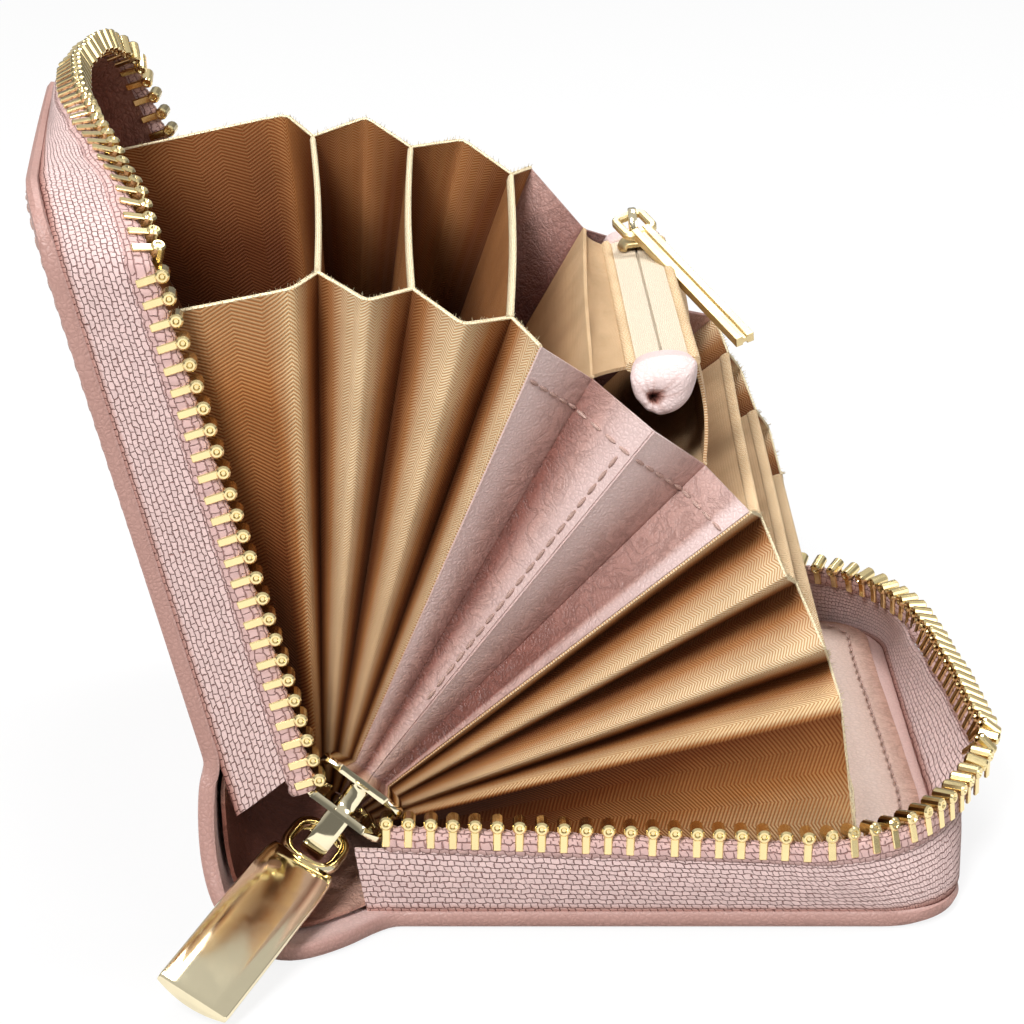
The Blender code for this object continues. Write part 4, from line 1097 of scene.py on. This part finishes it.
def makeFan():
    bodies = ["upper_cover", "divider_1", "divider_2", "divider_3", "divider_4", "coin_zip",
              "divider_5", "divider_6", "divider_7", "divider_8", "lower_cover"]
    # first and last fold, cloth, the place in the chain of the body before it, and the
    # gusset that it stands for
    parts = (("Pleat1", 0, 2, herringboneGold, 0, "upper"),
             ("Pleat2", 2, 4, ribbedGold, 1, None), ("Pleat3", 4, 6, ribbedGold, 2, None),
             ("Pleat4", 6, 7, ribbedGold, 3, None),
             ("PocketPleat1", 7, 8, pocketLeather, 3, None),
             ("PocketPleat2", 8, 9, pocketLeather, 4, "pocket"),
             ("PocketPleat3", 9, 10, pocketLeather, 5, None),
             ("PocketPleat4", 10, 11, pocketLeather, 6, None),
             ("Pleat6", 11, 12, ribbedGold, 6, None), ("Pleat7", 12, 14, ribbedGold, 7, None),
             ("Pleat8", 14, 16, ribbedGold, 8, None),
             ("Pleat9", 16, 18, herringboneGold, 9, "lower"))
    # two pleats that share one span between bodies are both given the whole of it as their bend
    # line
    shared = {3: (6, 8), 6: (10, 12)}
    for end, label in ((-1, "near"), (1, "far")):
        lines = foldLines(end)
        for name, first, last, material, k, gusset in parts:
            start, stop = (middleLine(lines[fold]) for fold in shared.get(k, (first, last)))
            bend = (bodies[k + 1], bodies[k], stop, start)
            if k == 0:
                # no joint joins the upper cover to the first divider, which turns 0.81 as far
                bend = ("lower_cover", "upper_cover", start + (stop - start) * 3.6, start)
            makePleat(label + name, lines, first, last, end, material,
                      (f"{label}_gusset_{gusset}",) if gusset else (), bend)


def dividerPlace(index, outer, inner):
    def place(u, v):
        radius = along(inner, outer, u)
        share = (radius - fan["innerRadius"]) / (fan["valleyRadii"][index] - fan["innerRadius"])
        half = along(fan["apexHalf"], fan["valleyHalf"], share) - 0.0004
        angle = along(fan["nearValleys"][index], fan["farValleys"][index], v)
        sag = 0.30 * sin(pi * v) * (1 if index % 2 else -1)
        return fanPoint(angle + sag, radius, along(-half, half, v))
    return place


def makeDividers():
    for index, outer in enumerate(fan["valleyRadii"]):
        body, name = f"divider_{index + 1}", f"divider{index + 1}"
        # the coin pocket's walls grow out of the fourth and the fifth
        carriesPocket = index in (3, 4)
        # painted shade on the divider's cloth: 0.95 at its inner end, falling to top at its rim
        top = 0.42 if index < 3 else 0.10
        place = dividerPlace(index, outer + (0.0003 if carriesPocket else -fan["panelShort"]),
                             0.012)
        panel = gridPiece(name + "Cloth", 16, 30, place, 0.07, 0.086,
                          lambda u, v: along(0.95, top, 1 - (1 - u) ** 0.7))
        thicken(panel, fan["clothThick"])
        dress(panel, ribbedGold, (body,), body=body)
        if carriesPocket:
            continue
        edge = dividerPlace(index, outer, outer - fan["bindingDepth"])
        centres = [edge(0.5, share) for share in shares(40)]
        ups = [(edge(1.0, share) - edge(0.0, share)).normalized() for share in shares(40)]
        binding = sweep(name + "Edge", centres, sidesAlong(centres, ups), ups,
                        ellipse(*fan["bindingHalf"], 10, 0.8))
        dress(binding, creamEdge if index < 3 else ribbedGold, body=body,
              degrees=60)


makeFan()
makeDividers()
print("fan made")


# the sheets that close the fan against the covers
sheets = {"from": 0.0100, "upperTo": 0.0745, "lowerTo": 0.0770, "half": 0.0490,
          "edgeHalf": 0.0480, "depth": 0.0108, "hem": 0.0055, "thick": 0.0005,
          "edgeRadius": 0.00035}


def makeSheets():
    depth = sheets["depth"]
    for side, cover, to in (("upper", upperPlace, sheets["upperTo"]),
                            ("lower", lowerPlace, sheets["lowerTo"])):
        def place(u, v):
            lift = 0.0004 * sin(5 * u + 2) * sin(pi * v)
            return cover(along(sheets["from"], to, u), sheets["half"] * (2 * v - 1),
                         depth + lift)

        # painted shade on the sheet, darker towards the fan's apex
        cloth = gridPiece(side + "Sheet", 24, 36, place, to - sheets["from"],
                          2 * sheets["half"], lambda u, v: 0.45 + 0.50 * (1 - u) ** 0.8)
        thicken(cloth, sheets["thick"])
        dress(cloth, herringboneGold, (side + "_fan_sheet",), body=side + "_cover")
        for label, back, lift, material in (("Edge", 0.0, 0.0, creamEdge),
                                            ("Hem", sheets["hem"], 0.0003, ribbedGold)):
            points = [cover(to - back, sheets["edgeHalf"] * (2 * share - 1), depth - lift)
                      for share in shares(40)]
            edge = tubeAlong(side + "Sheet" + label, points, inward(cover),
                             (sheets["edgeRadius"], sheets["edgeRadius"]))
            dress(edge, material, body=side + "_cover", degrees=60)


makeSheets()

# the zipped coin pocket on the fifth divider
coin = {
    "near": (0.0449, 0.0657), "far": (0.0437, 0.0633), "turn": 6.0,
    "nearEnd": -0.0385, "farEnd": 0.0365, "tapeOuter": 0.0037, "tapeInner": 0.0002,
    "tapeThick": 0.0006, "wallThick": 0.0005, "wallOut": 0.0008, "foldHalf": (0.0009, 0.0008),
    "coilPitch": 0.00105, "coilRadius": 0.00075, "coilWire": 0.00030,
    "tabLength": 0.0072, "tabHalf": 0.0047, "tabTop": 0.0018, "tabDrop": 0.0058,
    "sliderAt": 0.0310, "sliderLength": 0.0080, "sliderHalf": 0.0028, "sliderUp": 0.0011,
    "sliderThick": 0.0011, "plateThick": 0.0008, "bailHalf": 0.0026, "bailRise": 0.0046,
    "eyeAhead": 0.0025, "eyeHeight": 0.0029,
    "pull": (0.444, -0.842, -0.290), "pullLength": 0.0365, "pullHalf": 0.0016,
    "pullThick": 0.0008, "groove": 0.0004,
    "loopHead": 0.0023, "loopHalf": 0.0024, "loopHole": 0.0034, "wire": 0.0007,
}


def coinAxes():
    c, s = cos(radians(coin["turn"])), sin(radians(coin["turn"]))
    return Vector((c, 0, s)), Vector((-s, 0, c))


def coinPoint(y, across, up):
    share = (y - coin["nearEnd"]) / (coin["farEnd"] - coin["nearEnd"])
    x, z = (along(a, b, share) for a, b in zip(coin["near"], coin["far"]))
    a, n = coinAxes()
    return apex + Vector((x, y, z)) + a * across + n * up


def coinEdge(index, y):
    half = fan["valleyHalf"] - 0.001
    angle = along(fan["nearValleys"][index], fan["farValleys"][index], (y + half) / (2 * half))
    return fanPoint(angle, fan["valleyRadii"][index], y)


def makeCoinSides():
    across, up = coinAxes()
    start, end, outer = coin["nearEnd"], coin["farEnd"], coin["tapeOuter"]
    for label, side, index, divider in (("Left", -1, 3, "divider_4"),
                                        ("Right", 1, 4, "divider_5")):
        def tapePlace(u, v):
            a = side * along(coin["tapeInner"], outer, v)
            return coinPoint(along(start - 0.001, end + 0.001, u), a,
                             0.0004 * (1 - (a / outer) ** 2))

        tape = gridPiece(f"coinTape{label}", 60, 6, tapePlace, end - start, 0.0031)
        thicken(tape, coin["tapeThick"])
        dress(tape, creamTape, (f"coin_tape_{label.lower()}",), body="coin_zip")

        def wallPlace(u, v):
            foot = coinEdge(index, along(-0.0424, 0.0418, u))
            head = coinPoint(along(start, end, u), side * (outer + coin["wallOut"]), -0.0004)
            puff = 0.0009 * sin(pi * v) * (1 + 0.4 * sin(9 * u))
            return foot.lerp(head, v) + across * side * puff

        # painted shade on the wall, a little darker towards its foot
        wall = gridPiece(f"coinWall{label}", 50, 12, wallPlace, end - start, 0.018,
                         lambda u, v: 0.10 + 0.12 * (1 - v))
        thicken(wall, coin["wallThick"])
        low, high = wallPlace(0.5, 0.05), wallPlace(0.5, 0.95)
        pair = ("coin_zip", divider, high, low) if side < 0 else (divider, "coin_zip", low, high)
        dress(wall, ribbedGold, (f"coin_wall_{label.lower()}",), bend=pair)
        points = [coinPoint(along(start - 0.001, end + 0.001, share),
                            side * (outer + coin["wallOut"]), -0.0002) for share in shares(50)]
        fold = tubeAlong(f"coinFold{label}", points, up, coin["foldHalf"])
        dress(fold, ribbedGold, body="coin_zip", degrees=60)


def makeCoinCoil():
    # a row of small turns, as far as the slider
    across, up = coinAxes()
    deselectAll()
    bpy.ops.mesh.primitive_torus_add(major_segments=10, minor_segments=5,
                                     major_radius=coin["coilRadius"],
                                     minor_radius=coin["coilWire"])
    template = namePiece(bpy.context.active_object, "coilTemplate")
    start, pitch = coin["nearEnd"], coin["coilPitch"]
    z = (Vector((0, 1, 0)) + across * 0.25).normalized()
    matrices = [axesMatrix(coinPoint(start + pitch * i, 0, -0.0005), across * 0.95, up * 0.8, z)
                for i in range(int((coin["sliderAt"] - start) / pitch))]
    coil = stampCopies("coinCoil", template, matrices)
    dress(coil, creamTape, ("coin_coil",), body="coin_zip", degrees=60)
    bpy.data.objects.remove(template)


def makeCoinTabs():
    # rolled leather, gathered round a dimple at each end
    def creaseAt(theta):
        return 0.5 + 0.5 * sin(9 * theta + 2 * sin(3 * theta))

    # painted shade: dark in the dimple and along the creases round it
    def shade(u, v):
        pleats = held((u - 0.62) / 0.2) * creaseAt(2 * pi * v) ** 3
        return held(0.95 * held((u - 0.83) / 0.10) + 0.28 * pleats)

    for label, at, sign in (("Near", coin["nearEnd"], -1), ("Far", coin["farEnd"], 1)):
        def place(u, v):
            theta = 2 * pi * v
            turn = (u - 0.5) * 2 * pi * 0.90
            if u < 0.5:
                size, out = 0.86 + 0.14 * sin(pi * u), u * 1.3
            else:
                size = 0.50 + 0.50 * cos(turn)
                out = 0.65 + 0.35 * sin(turn) - 0.12 * held((turn - 1.9) / 0.9)
            half = size * (1 - 0.20 * max(0.0, u - 0.45) * creaseAt(theta))
            rise = sin(theta)
            high = coin["tabTop"] if rise > 0 else coin["tabDrop"]
            drift = held((u - 0.45) / 0.5)
            return coinPoint(at + sign * (coin["tabLength"] * out - 0.0004),
                             coin["tabHalf"] * half * cos(theta) - 0.0021 * drift,
                             rise * high * half - 0.0036 * drift)

        tab = gridPiece(f"coinTab{label}", 36, 60, place, shade=shade)
        mergeAndFill(tab)
        roundOff(tab)
        dress(tab, pocketLeather, (f"coin_tab_{label.lower()}",),
              body="coin_zip", degrees=70)


def makeRing(name, middle, long, wide, halfLong, halfWide, corner, section):
    # a closed bar round a rounded rectangle
    points, outs = [], []
    for quarter, (sx, sy) in enumerate(((1, 1), (-1, 1), (-1, -1), (1, -1))):
        for share in shares(5):
            turn = pi / 2 * (quarter + share)
            outs.append(long * cos(turn) + wide * sin(turn))
            points.append(middle + long * sx * (halfLong - corner)
                          + wide * sy * (halfWide - corner) + outs[-1] * corner)
    face = long.cross(wide).normalized()
    return sweep(name, points, outs, [face] * len(points), section, closed=True)


def makeCoinSlider():
    across, _ = coinAxes()
    at, length, level = coin["sliderAt"], coin["sliderLength"], coin["sliderUp"]

    def place(u, v):
        half = coin["sliderHalf"] * (0.62 + 0.38 * sin(pi * min(1.0, u * 1.25)) ** 0.5)
        drop = 0.0010 * max(0.0, abs(2 * v - 1) - 0.8) / 0.2
        return coinPoint(at + length * (u - 0.5), half * (2 * v - 1), level + 0.0006 - drop)

    plate = gridPiece("coinSlider", 14, 14, place)
    thicken(plate, coin["plateThick"])
    roundOff(plate)
    dress(plate, coinGold, ("coin_slider_body",), body="coin_slider")
    top = level + coin["sliderThick"]
    points = [coinPoint(at - cos(pi * share) * coin["bailHalf"], 0,
                        top + 0.0001 + sin(pi * share) * coin["bailRise"])
              for share in shares(14)]
    bail = tubeAlong("coinBail", points, across, (0.0004, 0.0007), 8, 0.6)
    dress(bail, paleGold, ("coin_slider_bail",), body="coin_slider", degrees=60)


def makeCoinPuller():
    # a grooved bar on a wire loop
    across, _ = coinAxes()
    run = Vector(coin["pull"]).normalized()
    face = across.cross(run).normalized()
    side = run.cross(face).normalized()
    eye = coinPoint(coin["sliderAt"] - coin["eyeAhead"], 0,
                    coin["sliderUp"] + coin["sliderThick"] + coin["eyeHeight"])
    wire, head = coin["wire"], coin["loopHead"]
    halfLong = coin["loopHole"] / 2 + wire + 0.0002
    ring = makeRing("coinLoop", eye + run * (halfLong - head), run, side, halfLong,
                    coin["loopHalf"], 0.0010, ellipse(wire, wire, 8, 0.7))
    begin = 2 * halfLong - head - 0.0006
    centres = [eye + run * along(begin, coin["pullLength"], share) for share in shares(10)]
    half, groove, thick = coin["pullHalf"], coin["groove"], coin["pullThick"]
    quarter = [(groove * 0.75, groove), (groove, thick), (half, thick)]
    section = ([(-a, -b) for a, b in reversed(quarter)] + [(a, -b) for a, b in quarter]
               + [(a, b) for a, b in reversed(quarter)] + [(-a, b) for a, b in quarter])
    bar = sweep("coinBar", centres, [side] * 11, [face] * 11, section)
    applyModifier(bar, "BEVEL", width=0.00008, segments=1, limit_method="ANGLE")
    dress(joinInto("coinPuller", [bar, ring]), coinGold, ("coin_puller",),
          body="coin_puller", degrees=35)


makeCoinSides()
makeCoinCoil()
makeCoinTabs()
makeCoinSlider()
makeCoinPuller()
print("coin pocket made")

# the slider of the covers' zip and its domed puller
slider = {
    "x": 0.0002, "z": 0.0043, "front": -0.0545, "length": 0.0108, "turn": -37.0, "dip": 18.0,
    "out": 0.0033, "thick": 0.0012, "flange": 0.0012, "fold": 0.0006,
    "widths": ((0.0, 0.0060), (0.14, 0.0066), (0.45, 0.0063), (0.75, 0.0048), (1.0, 0.0036)),
    "postWide": 0.00150, "postDeep": 0.0022, "postBack": 0.0026, "postShort": 0.0007,
    "bailHalf": 0.00180, "bailThick": 0.0010, "bailRise": 0.0074, "bailSpan": 0.0088,
    "eye": (-0.0048, -0.0520, -0.0035), "tip": (-0.0206, -0.0845, -0.0118), "roll": -20.0,
    "pullHalf": 0.0057, "pullLow": 0.0010, "pullHigh": 0.0017,
    "loopHalf": 0.0046, "loopHead": 0.0030, "loopLong": 0.0090, "loopCorner": 0.0026,
    "loopWire": (0.00085, 0.0009), "plateBevel": 0.00022, "slabBevel": 0.00016,
}


def sliderAxes():
    # across the slider, away from the row, and along the slider, whose rear end dips
    turn = radians(slider["turn"])
    dip = Matrix.Rotation(-radians(slider["dip"]), 3, "X")
    return (dip @ Vector((cos(turn), 0, sin(turn))),
            dip @ Vector((sin(turn), 0, -cos(turn))), dip @ Vector((0, 1, 0)))


def sliderPoint(across, y, outward):
    a, n, back = sliderAxes()
    front = apex + Vector((slider["x"], slider["front"], slider["z"]))
    return front + a * across + n * outward + back * (y - slider["front"])


def platePlace(sign):
    # one plate of the slider, with its long edges turned over towards the other plate
    front, fold, flange, shift = slider["front"], slider["fold"], slider["flange"], 0.0005
    level = slider["out"] - slider["thick"] / 2

    def place(u, v):
        rounded = 1 - 0.30 * max(0.0, 1 - v / 0.07) ** 2 - 0.35 * max(0.0, (v - 0.9) / 0.1) ** 2
        half = lookedUp(slider["widths"], v) * rounded + (shift if sign > 0 else 0.0)
        arc = fold * pi / 2
        x, flat, drop = (2 * u - 1) * (half - 2 * fold + arc + flange), half - fold, 0.0
        beyond = abs(x) - flat
        if beyond > 0:
            turn = min(beyond / fold, pi / 2)
            x = copysign(flat + fold * sin(turn), x)
            drop = (fold * (1 - cos(turn)) + max(0.0, beyond - arc)) * min(v / 0.10, 1.0)
        rise = 0.0003 * sin(pi * v)
        return sliderPoint(x - (shift if sign > 0 else 0.0), front + slider["length"] * v,
                           sign * (level + rise - drop))

    return place


def makeSlider():
    across, _, back = sliderAxes()
    pieces = []
    for sign in (-1, 1):
        plate = gridPiece("sliderPlate", 34, 18, platePlace(sign))
        thicken(plate, slider["thick"])
        applyModifier(plate, "BEVEL", width=slider["plateBevel"], segments=2, limit_method="ANGLE")
        pieces.append(plate)
    front, out = slider["front"], slider["out"]
    levels = [2 * share - 1 for share in shares(8)]
    flare = [1 + 0.3 * abs(level) ** 6 for level in levels]
    spots = [sliderPoint(0, front + slider["postBack"], level * (out - slider["postShort"]))
             for level in levels]
    pieces.append(sweep("sliderPost", spots, [across] * 9, [back] * 9,
                        ellipse(slider["postWide"], slider["postDeep"], 12, 0.5),
                        sizes=[(size, size) for size in flare]))
    dress(joinInto("sliderBody", pieces), paleGold, ("main_slider_body",),
          body="main_slider", degrees=40)
    points, half = [], slider["bailSpan"] / 2
    for share in shares(20):
        c, s = cos(pi * share), sin(pi * share)
        y = front + 0.0004 + half - copysign(abs(c) ** 0.6, c) * (half - 0.0006)
        points.append(sliderPoint(0, y, out - 0.0004 + slider["bailRise"] * s ** 0.6))
    bail = tubeAlong("sliderBail", points, across,
                     (slider["bailThick"] / 2, slider["bailHalf"]), 12, 0.35)
    dress(bail, paleGold, ("main_slider_bail",), body="main_slider", degrees=50)


def makePuller():
    # a slab with a domed face, on a thick loop
    eye, tip = apex + Vector(slider["eye"]), apex + Vector(slider["tip"])
    run, length = (tip - eye).normalized(), (tip - eye).length
    roll = radians(slider["roll"])
    level = Vector((cos(roll), 0, sin(roll)))
    side = (level - run * level.dot(run)).normalized()
    face = side.cross(run).normalized()
    halfLong, head = slider["loopLong"] / 2, slider["loopHead"]
    ring = makeRing("pullerLoop", eye + run * (halfLong - head), run, side, halfLong - 0.0007,
                    slider["loopHalf"] - 0.0007, slider["loopCorner"],
                    ellipse(*slider["loopWire"], 12, 0.55))
    begin = slider["loopLong"] - head - 0.0008
    half, low, high = slider["pullHalf"], slider["pullLow"], slider["pullHigh"]
    section = [(half * a, -low * b) for a, b in ((-1, 0.5), (-0.96, 1), (-0.5, 1), (0, 1),
                                                 (0.5, 1), (0.96, 1), (1, 0.5), (1, -0.05))]
    section += [(half * a, low * 0.05 + high * (1 - a * a) * 0.9)
                for a in (1 - 2 * share for share in shares(12)[1:-1])] + [(-half, low * 0.05)]
    # each cut across the slab: how far along it is, and its share of the width and height
    cuts = ((0.0, 0.90, 0.85), (0.03, 0.95, 0.95), (0.07, 0.98, 1.0), (0.16, 1.0, 1.0),
            (0.4, 1.0, 1.0), (0.7, 1.0, 1.0), (0.97, 1.0, 1.0), (1.0, 0.985, 0.97))
    centres = [eye + run * along(begin, length, at) for at, _, _ in cuts]
    slab = sweep("pullerSlab", centres, [side] * len(cuts), [face] * len(cuts), section,
                 sizes=[size for _, *size in cuts])
    applyModifier(slab, "BEVEL", width=slider["slabBevel"], segments=2, limit_method="ANGLE",
                  angle_limit=radians(40))
    dress(joinInto("zipPuller", [slab, ring]), paleGold, ("main_puller",),
          body="main_puller", degrees=35)


makeSlider()
makePuller()
print("slider made")


# floor, light and camera
stage = {
    "floor": -0.0014, "sky": 0.20, "aim": (0.0, 0.0, 0.04),
    "lamps": (("keyLight", (-0.35, -0.85, 0.90), 0.35, 15.0),
              ("fillLight", (0.75, -0.75, 0.55), 0.60, 3.0),
              ("topLight", (0.10, 0.30, 1.05), 0.50, 8.0)),
    "camera": (0.0234, -0.4387, 0.1884), "cameraTurn": 70.0, "lens": 103.0,
}


def seenDirectly(tree, inMirror):
    # 1 where the camera looks straight at it, and inMirror where metal reflects it
    path = addNode(tree, "LightPath").outputs
    seen = mathNode(tree, "MAXIMUM", path["Is Camera Ray"],
                    mathNode(tree, "MULTIPLY", path["Is Glossy Ray"], inMirror))
    return mathNode(tree, "MAXIMUM", seen, path["Is Transmission Ray"])


def makeFloor():
    deselectAll()
    bpy.ops.mesh.primitive_plane_add(size=6.0)
    floor = namePiece(bpy.context.active_object, "floor")
    for vertex in floor.data.vertices:
        vertex.co.z = stage["floor"]
    material, tree, shader = newMaterial("pale floor", 0.9)
    glow = addNode(tree, "Emission", {"Color": (1, 1, 1, 1), "Strength": 1.0}).outputs[0]
    lights = addNode(tree, "LightPath").outputs["Is Diffuse Ray"]
    setInputs(tree, shader, {"Base Color": mixColours(tree, lights, (0.93, 0.93, 0.93, 1.0),
                                                      (0.30, 0.27, 0.25, 1.0))})
    share = mathNode(tree, "MULTIPLY", seenDirectly(tree, 0.6), 0.86)
    blend = addNode(tree, "MixShader", {0: share, 1: shader.outputs[0], 2: glow})
    setInputs(tree, tree.nodes["Material Output"], {"Surface": blend.outputs[0]})
    floor.data.materials.append(material)


def makeWorld():
    world = bpy.data.worlds.new("studio")
    bpy.context.scene.world = world
    world.use_nodes = True
    tree = world.node_tree
    split = addNode(tree, "SeparateXYZ", {0: addNode(tree, "TexCoord").outputs["Generated"]})
    seen = seenDirectly(tree, ramp(tree, split.outputs[2], 0.10, 0.60, 0.05, 0.62))
    setInputs(tree, tree.nodes["Background"], {
        "Color": (1, 1, 1, 1), "Strength": mathNode(tree, "MAXIMUM", seen, stage["sky"])})


def makeLampsAndCamera():
    scene = bpy.context.scene
    for name, place, size, power in stage["lamps"]:
        lamp = bpy.data.lights.new(name, "AREA")
        lamp.size = size
        lamp.energy = power
        holder = bpy.data.objects.new(name, lamp)
        holder.location = place
        turn = (Vector(stage["aim"]) - Vector(place)).to_track_quat("-Z", "Y")
        holder.rotation_euler = turn.to_euler()
        scene.collection.objects.link(holder)
    lens = bpy.data.cameras.new("photoCamera")
    lens.lens = stage["lens"]
    lens.sensor_width = 36.0
    lens.clip_start = 0.01
    camera = bpy.data.objects.new("photoCamera", lens)
    camera.location = apex + Vector(stage["camera"])
    camera.rotation_euler = (radians(stage["cameraTurn"]), 0.0, 0.0)
    scene.collection.objects.link(camera)
    scene.camera = camera
    scene.view_settings.view_transform = "Standard"


makeFloor()
makeWorld()
makeLampsAndCamera()
print("stage made")
